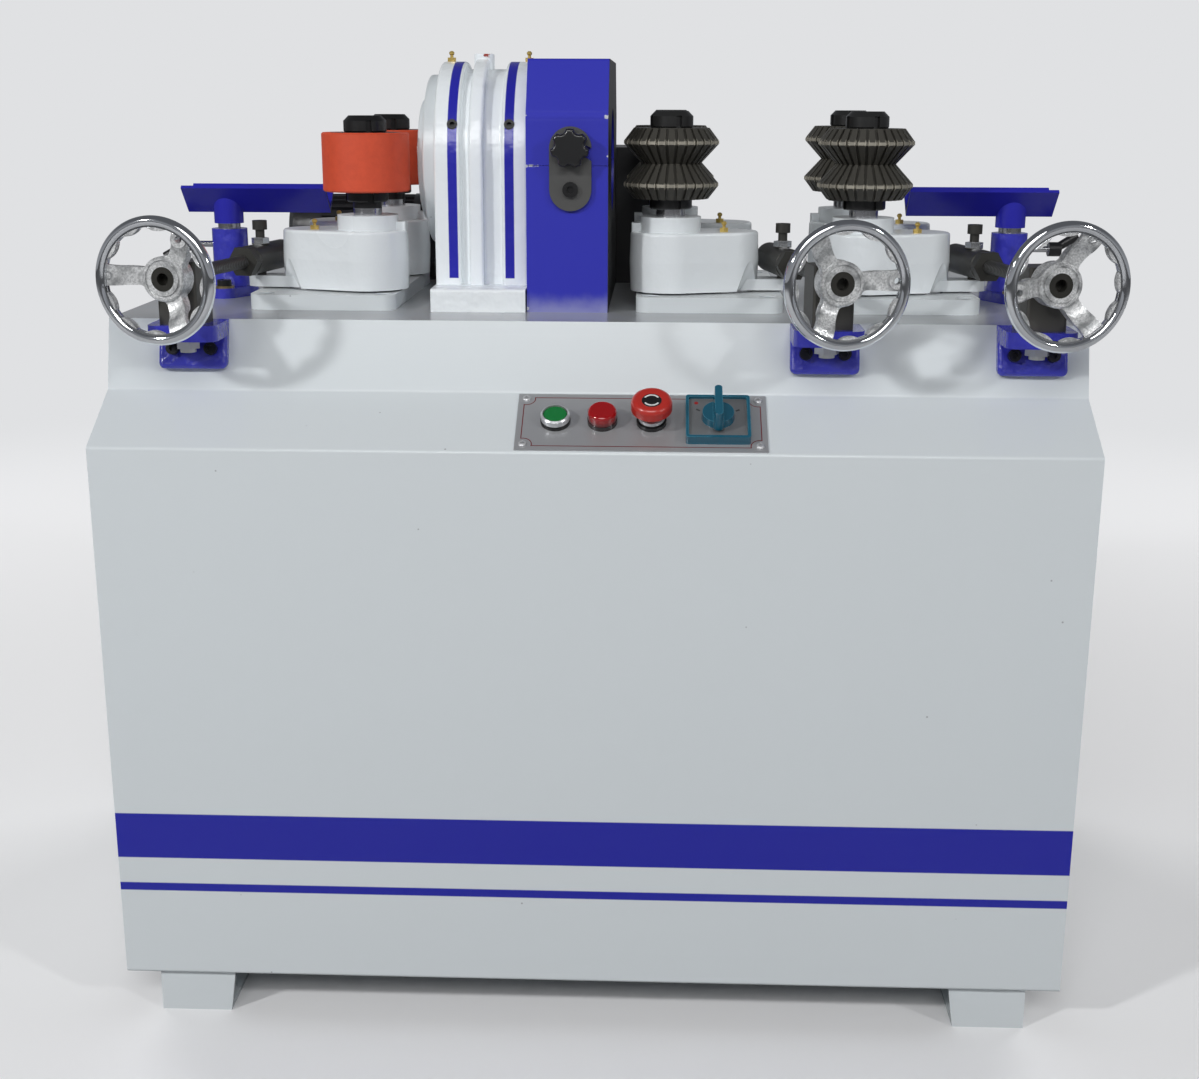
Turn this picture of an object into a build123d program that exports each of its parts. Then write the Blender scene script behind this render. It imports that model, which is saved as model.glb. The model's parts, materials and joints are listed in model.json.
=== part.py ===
from build123d import *
import os
from math import atan2, cos, hypot, radians, sin, sqrt

# A floor machine that turns square stock into round sticks. Millimetres. X runs along the stick,
# from the outfeed on the left to the infeed on the right. Y points away from the operator, Z up.
# The origin is on the floor, in the middle of the four anchor holes, under the stick's axis.

# Cabinet and table
CABINET_WIDTH = 1000.0
CABINET_FRONT = 320.0
CABINET_BACK = 320.0
SLOPE_DROP = 71.0
SLOPE_RISE = 45.0
SLOPE_RUN = 78.0
TABLE_HEIGHT = 743.0
TABLE_FRONT = 223.0
TABLE_THICK = 12.0
SHEET = 3.0
BEND_RADIUS = 4.0
FOOT_HEIGHT = 48.0
FOOT_OUTER = 466.0
FOOT_WIDTH_TOP = 82.0
FOOT_WIDTH_BOTTOM = 75.5
FOOT_DEPTH = 76.0
FOOT_SETBACK = 8.0
FOOT_PLATE = 6.0
ANCHOR_RADIUS = 7.0
ANCHOR_INSET = 38.0
REAR_OPENING = (620.0, 380.0)
REAR_OPENING_MIDDLE = 320.0
REAR_OPENING_CORNER = 12.0
REAR_COVER_CORNER = 15.0
REAR_COVER_LAP = 22.0
REAR_COVER_THICK = 2.0

# Controls on the slope, placed along it from the middle of the plate
PLATE_X = 50.0
PLATE_SIZE = (250.0, 85.0)
PLATE_THICK = 1.5
START_U = -86.0
LAMP_U = -39.0
STOP_U = 10.0
SELECTOR_U = 76.0
BARREL_RADIUS = 11.0
BARREL_DEPTH = 40.0
BARREL_CLEARANCE = 0.15
COLLAR_RADIUS = 15.0
COLLAR_BASE = 3.0
COLLAR_STEP = 0.5
STEM_RADIUS = 7.0
STEM_CLEARANCE = 0.05
CAP_RADIUS = 12.0
CAP_CLEARANCE = 0.3
CAP_SUNK = 0.8
CAP_EDGE = 1.0
BEZEL_TOP = 11.0
BEZEL_EDGE = 1.4
START_SEAT = 2.5
START_TRAVEL = 4.0
LAMP_SEAT = 5.0
LENS_RADIUS = 14.5
LENS_HEIGHT = 11.5
LENS_EDGE = 3.5
STOP_SEAT = 9.0
STOP_BASE = 4.0
STOP_STEP = 2.0
STOP_TRAVEL = 5.5
STEM_BOTTOM = -4.0
STEM_WELL = -10.0
MUSHROOM_RADIUS = 20.5
MUSHROOM_TOP = 31.0
MUSHROOM_EDGE = 6.0
MUSHROOM_UNDERCUT = (6.0, 4.0)
SELECTOR_SIZE = 64.0
SELECTOR_CORNER = 3.0
SELECTOR_THICK = 10.0
SELECTOR_FACE = 58.0
SELECTOR_FACE_CORNER = 2.0
SELECTOR_RECESS = 3.0
SELECTOR_SHAFT = 5.0
SELECTOR_HUB = 16.5
SELECTOR_HUB_HEIGHT = 8.0
SELECTOR_HUB_TAPER = 6.0
SELECTOR_BAR = (11.0, 48.0)
SELECTOR_BAR_RISE = 4.0
SELECTOR_BAR_TOP = 31.0
SELECTOR_BAR_TAPER = 5.0

# Stick axis, stock and spindle
AXIS_HEIGHT = 153.0
STICK_RADIUS = 34.0
SPINDLE_RADIUS = 45.0
SPINDLE_LEFT = -203.0
SPINDLE_FLANGE_RADIUS = 60.0
SPINDLE_FLANGE_THICK = 6.0
BEARING_RADIUS = 70.0
BEARING_WIDTH = 24.0
BEARING_CLEARANCE = 0.05

# Spindle housing
HOUSING_LEFT = -177.0
HOUSING_RIGHT = -76.0
HOUSING_RADIUS = 106.0
HOUSING_RING = 28.0
HOUSING_STEP = 8.0
HOUSING_EDGE = 3.6
HOUSING_FOOT = (152.0, 24.0)
HOUSING_FOOT_EDGE = 3.0
RIB_SHIFT = 5.0
RIB_WIDTH = 15.0
RIB_PROUD = 4.0
LUG_SIZE = (20.0, 34.0)
LUG_CORNER = 5.0
LUG_PROUD = 8.0
BELT_ROOM = 8.0
OUTLET_STEPS = ((92.0, 14.0), (66.0, 9.0))
OUTLET_EDGE = 3.0
OUTLET_HOLE_CLEARANCE = 1.5
SET_SCREW_RADIUS = 5.5
SET_SCREW_LENGTH = 10.0
SET_SCREW_PROUD = 1.0
SET_SCREW_SOCKET = (2.75, 5.0)
SET_SCREW_RISE = 43.0
SET_SCREW_INSET = 20.0

# Belt drive
BELT_X = -126.5
BELT_COUNT = 3
BELT_PITCH = 14.0
BELT_WIDTH = 11.0
BELT_THICK = 8.0
BELT_GAP = 0.4
SPINDLE_PULLEY_RADIUS = 75.0
MOTOR_PULLEY_RADIUS = 80.0
GROOVE_DEPTH = 7.0
PULLEY_WIDTH = 46.0
MOTOR_HEIGHT = 132.0
MOTOR_RADIUS = 108.0
MOTOR_LENGTH = 290.0
MOTOR_GAP = 16.0
MOTOR_SHAFT = 19.0
MOTOR_EDGE = 12.0
MOTOR_FOOT = (216.0, 14.0, 145.0)
MOTOR_SADDLE = (108.0, 78.0)
BELT_SLOT_MARGIN = 9.0

# Cutterhead and guard
CUTTER_RADIUS = 88.0
CUTTER_WIDTH = 38.0
CUTTER_MOUTH = 52.0
CUTTER_COLLAR = 4.0
CUTTER_EDGE = 8.0
CUTTER_BORE_CLEARANCE = 0.5
KNIFE_COUNT = 4
KNIFE_START = 45.0
KNIFE_SIZE = (34.0, 7.0, 26.0)
KNIFE_PROUD = 3.0
GUARD_LEFT = -74.5
GUARD_RIGHT = 11.5
GUARD_DEPTH = 148.0
GUARD_SHOULDER = 202.0
GUARD_TOP = 260.0
GUARD_TOP_DEPTH = 113.0
GUARD_SPLIT = 152.0
GUARD_SHEET = 3.0
GUARD_FOLD = 4.0
GUARD_LEFT_HOLE = 66.0
GUARD_RIGHT_HOLE = 56.0
GUARD_SEAM = 0.4
LATCH_X = -28.0
LATCH_PIVOT_RISE = 128.0
LATCH_REACH = 42.0
LATCH_WIDTH = 44.0
LATCH_THICK = 4.0
LATCH_STAND_OFF = 0.5
LATCH_SLOT = 11.4
LATCH_SCREW_RADIUS = 4.0
LATCH_SCREW_HEAD = 4.0
LATCH_SCREW_SOCKET = (4.0, 2.7)
KNOB_RADIUS = 20.0
KNOB_LOBES = 7
KNOB_NOTCH = (22.4, 6.0)
KNOB_NOTCH_EDGE = 1.5
KNOB_EDGE = 3.0
KNOB_THICK = 16.0
KNOB_STUD = 5.0
CHUTE_RIGHT = 56.0
CHUTE_DEPTH = 120.0
CHUTE_HEIGHT = 163.0
CHUTE_SHEET = 2.0
CHUTE_MOUTH = (70.0, 110.0)

# Roller stations: name, stick position of the rollers, outboard side, spoke angle of the handle boss
STATIONS = (
    ("outfeed", -253.0, -1, 55.0),
    ("infeed_inner", 77.0, 1, 5.0),
    ("infeed_outer", 285.0, 1, 185.0),
)
ROLLER_OFFSET = 83.5
PIVOT_OFFSET = 70.0
PIVOT_X = 62.0
BASE_INBOARD = 36.0
BASE_OUTBOARD = 121.0
BASE_DEPTH = 146.0
BASE_THICK = 16.0
BASE_CORNER = 15.0
BASE_SCREW_INSET = 16.0
BASE_SCREW_SUNK = 1.0
BASE_RECESS_CLEARANCE = 1.5
WASHER_THICK = 2.0
WASHER_RADIUS = 30.0
POST_RADIUS = 18.0
POST_HEIGHT = 54.0
RUNNING_CLEARANCE = 0.05
ARM_HEIGHT = 63.0
ARM_ROLLER_END = 44.0
ARM_PIVOT_END = 35.0
ARM_EDGE = 3.0
ARM_DRAFT = 2.0
ARM_SCOOP_OUT = 46.0
ARM_SCOOP_RADII = (22.0, 9.6)
ARM_SCOOP_HEIGHT = 36.0
BOSS_RADIUS = 33.0
BOSS_HEIGHT = 16.0
SHAFT_RADIUS = 15.5
SHAFT_DEPTH = 60.0
SHAFT_END_GAP = 1.0
ARM_LUG = (14.0, 15.0)
ARM_LUG_RISE = 9.0
ARM_LUG_INSET = 2.0
ARM_LUG_CORNER = 2.0
EAR_LEVER = 61.0
EAR_RADIUS = 14.0
EAR_ROOT_RADIUS = 20.0
EAR_THICK = 12.0
EAR_PIN_PLAY = 1.8
TUBE_POCKET = 29.6
TUBE_POCKET_TURN = 41.5
TUBE_POCKET_GAP = 1.5
SECTOR_TEETH = 35
SECTOR_BEFORE = 1
SECTOR_AFTER = 4
TOOTH_ADDENDUM = 3.2
TOOTH_DEDENDUM = 4.4
TOOTH_TIP_HALF = 1.2
TOOTH_ROOT_HALF = 3.3
TOOTH_ROOT_SUNK = 2.0
SECTOR_RIM = 0.5

# Rollers
RUBBER_RADIUS = 47.0
RUBBER_HALF = 31.0
RUBBER_EDGE = 1.5
CORE_RADIUS = 38.0
V_END_RADIUS = 40.5
V_CREST_RADIUS = 51.0
V_VALLEY_RADIUS = 32.0
V_CREST_RISE = 22.0
V_HALF = 37.0
V_CREST_FLAT = 3.0
TOOTH_COUNT = 30
TOOTH_SLOT = 3.2
TOOTH_SLOT_DEPTH = 4.2
NUT_RADIUS = 23.0
NUT_EDGE = 1.5
LOWER_NUT_THICK = 11.0
UPPER_NUT_THICK = 12.0
UPPER_NUT_CONE = (17.5, 5.5)
NUT_SLOTS = 4
NUT_SLOT = (6.0, 3.0, 13.0)
NUT_SLOT_START = 20.0

# Handwheel adjusters
BRACKET_X = 157.0
SWIVEL_Y = 255.0
SCREW_HEIGHT = 48.0
SCREW_RADIUS = 7.0
SCREW_REACH = 226.0
SCREW_HEAD_RADIUS = 12.0
SCREW_HEAD_HOLE = (6.0, 12.0)
TUBE_RADIUS = 16.0
TUBE_EDGE = 1.5
TUBE_FRONT = 139.0
TUBE_BACK = 246.0
TUBE_NUT = 13.0
TUBE_NUT_FLATS = 30.0
TRUNNION_RADIUS = 5.0
TRUNNION_HEAD = (8.0, 10.0)
TRUNNION_SOCKET = (4.0, 5.0)
TRUNNION_NUT = (17.0, 7.0)
TRUNNION_NUT_SUNK = 1.0
TRUNNION_RISE = 15.0
TRUNNION_END_GAP = 1.0
BLOCK_WIDTH = 42.0
BLOCK_DEPTH = 38.0
BLOCK_ABOVE = 15.0
BLOCK_CORNER = 3.0
STUD_RADIUS = 8.0
STUD_END = 4.0
SHELF_THICK = 16.0
SHELF_REACH = 59.0
SHELF_CORNER = 12.0
STUD_NUT = (22.0, 9.0)
STUD_WASHER = 0.5
BRACKET_WIDTH = 70.0
BRACKET_HEIGHT = 49.0
BRACKET_THICK = 10.0
BRACKET_EDGE = 4.0
BRACKET_CORNER = 6.0
BRACKET_SCREW_SPACING = 39.0
BRACKET_SCREW_DROP = 31.0
BRACKET_SCREW = (4.0, 6.5, 6.0)
BRACKET_SOCKET = (3.25, 3.0)
RIM_OUT = 60.0
RIM_RADIUS = 57.0
RIM_SECTION = 5.5
WEB_RADIUS = 51.8
WEB_THICK = 8.0
BUMP_RADIUS = 20.0
BUMP_REACH = 48.2
BUMP_SPACING = 31.0
BUMP_COUNT = 3
HUB_RADIUS = 22.0
HUB_FRONT = 14.5
HUB_BACK = 39.0
HUB_EDGE = 1.5
HUB_GROOVE = (16.5, 18.5, 1.5)
HUB_BORE_CLEARANCE = 0.02
SPOKE_COUNT = 3
SPOKE_WIDTH = (14.0, 21.0)
SPOKE_THICK = (13.0, 6.5)
SPOKE_SUNK = 3.0
SPOKE_RISE = 1.5
SPOKE_FILLET = 7.0
HANDLE_BOSS = (8.0, 3.5, 3.5)

# Troughs
TROUGH_X = 175.0
TROUGH_INNER = 57.5
TROUGH_OUTER = 221.0
TROUGH_BOTTOM = 93.0
TROUGH_RISE = 28.0
TROUGH_WALL = 4.0
SOCKET_RADIUS = 16.5
SOCKET_HEIGHT = 12.0
TROUGH_POST_RADIUS = 12.5
TROUGH_POST_DEPTH = 62.0
COLUMN_TOP = 75.0
COLUMN_RADIUS = 20.0
COLUMN_FOOT_RADIUS = 23.0
COLUMN_TAPER = 14.0
COLUMN_FLANGE = (30.0, 15.0, 11.0)
COLUMN_BOLT_OFFSET = 36.0
CLAMP_RISE = 57.0
CLAMP_SHANK = 3.5
CLAMP_GAP = 0.4
CLAMP_HUB = (8.0, 44.0, 58.0)
CLAMP_HANDLE = ((51.0, 0.0), (76.0, 15.0))
CLAMP_HANDLE_RADII = (4.5, 5.5)

# Feed gearmotor behind the outfeed station
FEED_OUTBOARD = 62.0
FEED_Y = 222.0
FEED_RADIUS = 48.0
FEED_CORE = 42.0
FEED_EDGE = 6.0
FEED_LENGTH = 170.0
FEED_COWL = 42.0
FEED_SHIELD = 14.0
FEED_FIN_COUNT = 24
FEED_FIN_THICK = 2.5
FEED_FIN_DROP = 1.0
FEED_VENT = (14.0, 4.0, 5.0)
FEED_VENT_COUNT = 10
FEED_VENT_RING = 26.0
FEED_RISE = 55.0
FEED_BOX = (80.0, 104.0, 106.0)
FEED_BOX_CORNER = 10.0
FEED_CAP = (27.0, 5.0)
FEED_BOLT = (5.0, 4.0)
FEED_BOLT_INSET = 14.0
FEED_TERMINAL = (62.0, 46.0, 14.0)
FEED_TERMINAL_CORNER = 4.0
FEED_TERMINAL_LID = (3.0, 3.0)
FEED_FOOT = (90.0, 8.0, 85.0)
FEED_SADDLE = 45.0

# Screws shared by several pieces: shank radius, head radius, head height
CAP_SCREW = (5.0, 8.0, 9.0)
SCREW_CLEARANCE = 0.1
CAP_SOCKET = (4.0, 4.0)
SCREW_WASHER = (11.0, 2.0)

SLOPE_TOP = TABLE_HEIGHT - SLOPE_DROP
SLOPE_BOTTOM = SLOPE_TOP - SLOPE_RISE
AXIS_Z = TABLE_HEIGHT + AXIS_HEIGHT
CABINET_TOP = TABLE_HEIGHT - TABLE_THICK
STICK_AXIS = Axis((0, 0, AXIS_Z), (1, 0, 0))
STICK_SECTION = Plane(origin=(0, 0, AXIS_Z), x_dir=(1, 0, 0), z_dir=(0, -1, 0))
ACROSS = Plane.YZ
ARM_BOTTOM = TABLE_HEIGHT + BASE_THICK + WASHER_THICK
ARM_TOP = ARM_BOTTOM + ARM_HEIGHT
BOSS_TOP = ARM_TOP + BOSS_HEIGHT
SCREW_Z = TABLE_HEIGHT + SCREW_HEIGHT

os.makedirs("parts", exist_ok=True)


def save(piece, name):
    piece.part.label = name
    export_step(piece.part, f"parts/{name}.step")


def axial_section(face, u=0.0, v=0.0):
    """Plane through the normal of a face at (u, v): its x is the radius, its y is the height."""
    origin = face.from_local_coords((u, v, 0))
    return Plane(origin=origin, x_dir=face.x_dir, z_dir=-face.y_dir)


def radial_planes(centre, count, start=0.0):
    """Upright planes through a vertical axis, evenly turned: x is the radius, y is the height."""
    planes = []
    for number in range(count):
        turn = radians(start + 360 / count * number)
        planes.append(Plane(origin=centre, x_dir=(cos(turn), sin(turn), 0), z_dir=(sin(turn), -cos(turn), 0)))
    return planes


def corner(sketch, x, y):
    """Corner of a sketch in progress that is closest to a place in it."""
    return sketch.vertices().sort_by_distance((x, y))[0]


def lean_y(height):
    """Depth of the leaning upper panel's outer face at a height."""
    share = (height - SLOPE_TOP) / SLOPE_DROP
    bend = -(CABINET_FRONT - SLOPE_RUN)
    return bend + share * (-TABLE_FRONT - bend)


def arch(place, radius):
    """Half round on top of straight sides down to the table, across the stick at a place along it."""
    with BuildSketch(ACROSS.offset(place)) as outline:
        with BuildLine():
            top = ThreePointArc((-radius, AXIS_Z), (0, AXIS_Z + radius), (radius, AXIS_Z))
            Polyline(top @ 1, (radius, TABLE_HEIGHT), (-radius, TABLE_HEIGHT), top @ 0)
        make_face()
    return outline.sketch


# Feet: channels open to the inside, with a slanted inner edge and an anchor hole

FOOT_FRONT = CABINET_FRONT - FOOT_SETBACK
with BuildPart() as feet:
    with BuildSketch(Plane.XZ.offset(FOOT_FRONT)) as foot_face:
        Polygon(
            (FOOT_OUTER, 0),
            (FOOT_OUTER, FOOT_HEIGHT),
            (FOOT_OUTER - FOOT_WIDTH_TOP, FOOT_HEIGHT),
            (FOOT_OUTER - FOOT_WIDTH_BOTTOM, 0),
            align=None,
        )
        mirror(about=Plane.YZ)
    extrude(amount=-FOOT_DEPTH)
    with BuildSketch(Plane.XZ.offset(FOOT_FRONT - FOOT_PLATE)) as channel:
        with Locations((0, FOOT_HEIGHT / 2)):
            Rectangle(CABINET_WIDTH, FOOT_HEIGHT - 2 * FOOT_PLATE)
    extrude(amount=-FOOT_DEPTH, mode=Mode.SUBTRACT)
    with BuildSketch() as anchors:
        anchor_x = FOOT_OUTER - ANCHOR_INSET
        with Locations((anchor_x, ANCHOR_INSET - FOOT_FRONT), (-anchor_x, ANCHOR_INSET - FOOT_FRONT)):
            Circle(ANCHOR_RADIUS)
    extrude(amount=FOOT_PLATE, mode=Mode.SUBTRACT)
    mirror(about=Plane.XZ)

# Control panel planes: the slope's skin and the top of the plate on it

slope = Plane(
    origin=(PLATE_X, -CABINET_FRONT + SLOPE_RUN / 2, (SLOPE_BOTTOM + SLOPE_TOP) / 2),
    x_dir=(1, 0, 0),
    z_dir=(0, -SLOPE_RISE, SLOPE_RUN),
)
panel = slope.offset(PLATE_THICK)
barrel_places = [(START_U, 0), (LAMP_U, 0), (STOP_U, 0), (SELECTOR_U, 0)]

# Cabinet: one folded and welded sheet body, open under the table plate, feet welded on

with BuildPart() as cabinet:
    with BuildSketch(ACROSS) as side_view:
        Polygon(
            (-CABINET_FRONT, FOOT_HEIGHT),
            (-CABINET_FRONT, SLOPE_BOTTOM),
            (SLOPE_RUN - CABINET_FRONT, SLOPE_TOP),
            (lean_y(CABINET_TOP), CABINET_TOP),
            (CABINET_BACK, CABINET_TOP),
            (CABINET_BACK, FOOT_HEIGHT),
            align=None,
        )
    extrude(amount=CABINET_WIDTH / 2, both=True)
    bends = cabinet.edges().filter_by(Axis.X).sort_by(Axis.Z)[:-2]
    fillet(bends, radius=BEND_RADIUS)
    offset(amount=-SHEET, openings=cabinet.faces().sort_by(Axis.Z)[-1])
    with BuildSketch(Plane.XZ.offset(-CABINET_BACK)) as access:
        with Locations((0, REAR_OPENING_MIDDLE)):
            RectangleRounded(*REAR_OPENING, radius=REAR_OPENING_CORNER)
    extrude(amount=SHEET, mode=Mode.SUBTRACT)
    with BuildSketch(slope) as barrel_holes:
        with Locations(*barrel_places):
            Circle(BARREL_RADIUS + BARREL_CLEARANCE)
    extrude(amount=-2 * SHEET, mode=Mode.SUBTRACT)
    add(feet.part)
save(cabinet, "cabinet")

with BuildPart() as rear_cover:
    with BuildSketch(Plane.XZ.offset(-CABINET_BACK)) as cover_face:
        with Locations((0, REAR_OPENING_MIDDLE)):
            RectangleRounded(
                REAR_OPENING[0] + 2 * REAR_COVER_LAP,
                REAR_OPENING[1] + 2 * REAR_COVER_LAP,
                radius=REAR_COVER_CORNER,
            )
    extrude(amount=-REAR_COVER_THICK)
save(rear_cover, "rear_cover")

belt_reach = SPINDLE_PULLEY_RADIUS + BELT_GAP + BELT_THICK + BELT_SLOT_MARGIN
belt_slot = (PULLEY_WIDTH + BELT_SLOT_MARGIN, 2 * belt_reach)

with BuildPart() as table_plate:
    with BuildSketch(ACROSS) as plate_view:
        Polygon(
            (lean_y(CABINET_TOP), CABINET_TOP),
            (-TABLE_FRONT, TABLE_HEIGHT),
            (CABINET_BACK, TABLE_HEIGHT),
            (CABINET_BACK, CABINET_TOP),
            align=None,
        )
    extrude(amount=CABINET_WIDTH / 2, both=True)
    with BuildSketch(Plane.XY.offset(CABINET_TOP)) as belt_hole:
        with Locations((BELT_X, 0)):
            Rectangle(*belt_slot)
    extrude(amount=TABLE_THICK, mode=Mode.SUBTRACT)
save(table_plate, "table_plate")

# Control plate and what is fitted in it

with BuildPart() as control_plate:
    with BuildSketch(slope) as plate_outline:
        Rectangle(*PLATE_SIZE)
        with Locations(*barrel_places):
            Circle(BARREL_RADIUS + BARREL_CLEARANCE, mode=Mode.SUBTRACT)
    extrude(amount=PLATE_THICK)
save(control_plate, "control_plate")

stem_bore = STEM_RADIUS + STEM_CLEARANCE
cap_bore = CAP_RADIUS + CAP_CLEARANCE
bezel_radius = COLLAR_RADIUS - COLLAR_STEP
stop_ring_radius = COLLAR_RADIUS - STOP_STEP
cap_top = BEZEL_TOP - CAP_SUNK

with BuildPart() as button_collars:
    start_section = axial_section(panel, START_U)
    with BuildSketch(start_section) as start_collar:
        Polygon(
            (0, -BARREL_DEPTH),
            (BARREL_RADIUS, -BARREL_DEPTH),
            (BARREL_RADIUS, 0),
            (COLLAR_RADIUS, 0),
            (COLLAR_RADIUS, COLLAR_BASE),
            (bezel_radius, COLLAR_BASE),
            (bezel_radius, BEZEL_TOP - BEZEL_EDGE),
            (bezel_radius - BEZEL_EDGE, BEZEL_TOP),
            (cap_bore, BEZEL_TOP),
            (cap_bore, START_SEAT),
            (stem_bore, START_SEAT),
            (stem_bore, STEM_WELL),
            (0, STEM_WELL),
            align=None,
        )
    revolve(axis=Axis(start_section.origin, panel.z_dir))
    lamp_section = axial_section(panel, LAMP_U)
    with BuildSketch(lamp_section) as lamp_base:
        Polygon(
            (0, -BARREL_DEPTH),
            (BARREL_RADIUS, -BARREL_DEPTH),
            (BARREL_RADIUS, 0),
            (COLLAR_RADIUS, 0),
            (COLLAR_RADIUS, LAMP_SEAT),
            (0, LAMP_SEAT),
            align=None,
        )
    revolve(axis=Axis(lamp_section.origin, panel.z_dir))
    stop_section = axial_section(panel, STOP_U)
    with BuildSketch(stop_section) as stop_collar:
        Polygon(
            (0, -BARREL_DEPTH),
            (BARREL_RADIUS, -BARREL_DEPTH),
            (BARREL_RADIUS, 0),
            (COLLAR_RADIUS, 0),
            (COLLAR_RADIUS, STOP_BASE),
            (stop_ring_radius, STOP_BASE),
            (stop_ring_radius, STOP_SEAT),
            (stem_bore, STOP_SEAT),
            (stem_bore, STEM_WELL),
            (0, STEM_WELL),
            align=None,
        )
    revolve(axis=Axis(stop_section.origin, panel.z_dir))
save(button_collars, "button_collars")

with BuildPart() as start_button:
    with BuildSketch(start_section) as start_cap:
        Polygon(
            (0, STEM_BOTTOM),
            (STEM_RADIUS, STEM_BOTTOM),
            (STEM_RADIUS, START_SEAT + START_TRAVEL),
            (CAP_RADIUS, START_SEAT + START_TRAVEL),
            (CAP_RADIUS, cap_top - CAP_EDGE),
            (CAP_RADIUS - CAP_EDGE, cap_top),
            (0, cap_top),
            align=None,
        )
    revolve(axis=Axis(start_section.origin, panel.z_dir))
save(start_button, "start_button")

with BuildPart() as pilot_lens:
    with BuildSketch(panel.offset(LAMP_SEAT)) as lens_outline:
        with Locations((LAMP_U, 0)):
            Circle(LENS_RADIUS)
    extrude(amount=LENS_HEIGHT)
    fillet(pilot_lens.edges().sort_by(Axis(panel.origin, panel.z_dir))[-1], radius=LENS_EDGE)
save(pilot_lens, "pilot_lens")

with BuildPart() as stop_button:
    head_bottom = STOP_SEAT + STOP_TRAVEL
    with BuildSketch(stop_section) as mushroom:
        Polygon(
            (0, STEM_BOTTOM),
            (STEM_RADIUS, STEM_BOTTOM),
            (STEM_RADIUS, head_bottom),
            (MUSHROOM_RADIUS - MUSHROOM_UNDERCUT[0], head_bottom),
            (MUSHROOM_RADIUS, head_bottom + MUSHROOM_UNDERCUT[1]),
            (MUSHROOM_RADIUS, MUSHROOM_TOP),
            (0, MUSHROOM_TOP),
            align=None,
        )
    revolve(axis=Axis(stop_section.origin, panel.z_dir))
    fillet(stop_button.edges().sort_by(Axis(panel.origin, panel.z_dir))[-1], radius=MUSHROOM_EDGE)
save(stop_button, "stop_button")

with BuildPart() as selector_frame:
    with BuildSketch(panel) as frame_outline:
        with Locations((SELECTOR_U, 0)):
            RectangleRounded(SELECTOR_SIZE, SELECTOR_SIZE, radius=SELECTOR_CORNER)
    extrude(amount=SELECTOR_THICK)
    with BuildSketch(panel.offset(SELECTOR_THICK - SELECTOR_RECESS)) as recess:
        with Locations((SELECTOR_U, 0)):
            RectangleRounded(SELECTOR_FACE, SELECTOR_FACE, radius=SELECTOR_FACE_CORNER)
    extrude(amount=SELECTOR_RECESS, mode=Mode.SUBTRACT)
    with BuildSketch(panel) as switch_barrel:
        with Locations((SELECTOR_U, 0)):
            Circle(BARREL_RADIUS)
    extrude(amount=-BARREL_DEPTH)
    with BuildSketch(panel.offset(STEM_WELL)) as shaft_hole:
        with Locations((SELECTOR_U, 0)):
            Circle(SELECTOR_SHAFT + STEM_CLEARANCE)
    extrude(amount=SELECTOR_THICK - STEM_WELL, mode=Mode.SUBTRACT)
save(selector_frame, "selector_frame")

with BuildPart() as selector_knob:
    hub_bottom = SELECTOR_THICK - SELECTOR_RECESS + CAP_CLEARANCE
    with BuildSketch(panel.offset(hub_bottom)) as knob_hub:
        with Locations((SELECTOR_U, 0)):
            Circle(SELECTOR_HUB)
    extrude(amount=SELECTOR_HUB_HEIGHT, taper=SELECTOR_HUB_TAPER)
    bar_bottom = hub_bottom + SELECTOR_BAR_RISE
    with BuildSketch(panel.offset(bar_bottom)) as knob_bar:
        with Locations((SELECTOR_U, 0)):
            SlotOverall(SELECTOR_BAR[1], SELECTOR_BAR[0], rotation=90)
    extrude(amount=SELECTOR_BAR_TOP - bar_bottom, taper=SELECTOR_BAR_TAPER)
    with BuildSketch(panel.offset(hub_bottom)) as knob_shaft:
        with Locations((SELECTOR_U, 0)):
            Circle(SELECTOR_SHAFT)
    extrude(amount=STEM_BOTTOM - hub_bottom)
save(selector_knob, "selector_knob")

# Spindle housing: two rings and a rib over a waist, straight sides down to a foot on the table

housing_waist = HOUSING_RADIUS - HOUSING_STEP
rib_radius = HOUSING_RADIUS + RIB_PROUD
rib_middle = BELT_X - RIB_SHIFT
rib_left = rib_middle - RIB_WIDTH / 2
rib_right = rib_middle + RIB_WIDTH / 2
left_ring = HOUSING_LEFT + HOUSING_RING
right_ring = HOUSING_RIGHT - HOUSING_RING
belt_inside = SPINDLE_PULLEY_RADIUS - GROOVE_DEPTH + BELT_GAP
belt_room = arch(BELT_X - belt_slot[0] / 2, belt_inside + BELT_THICK + BELT_ROOM)
screw_angle = atan2(SET_SCREW_RISE, HOUSING_RADIUS)
screw_axis = (0, -cos(screw_angle), sin(screw_angle))
set_screw_seats = []
for screw_x in (HOUSING_LEFT + SET_SCREW_INSET, HOUSING_RIGHT - SET_SCREW_INSET):
    seat = (screw_x, HOUSING_RADIUS * screw_axis[1], AXIS_Z + HOUSING_RADIUS * screw_axis[2])
    set_screw_seats.append(Plane(origin=seat, x_dir=(1, 0, 0), z_dir=screw_axis))

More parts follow.
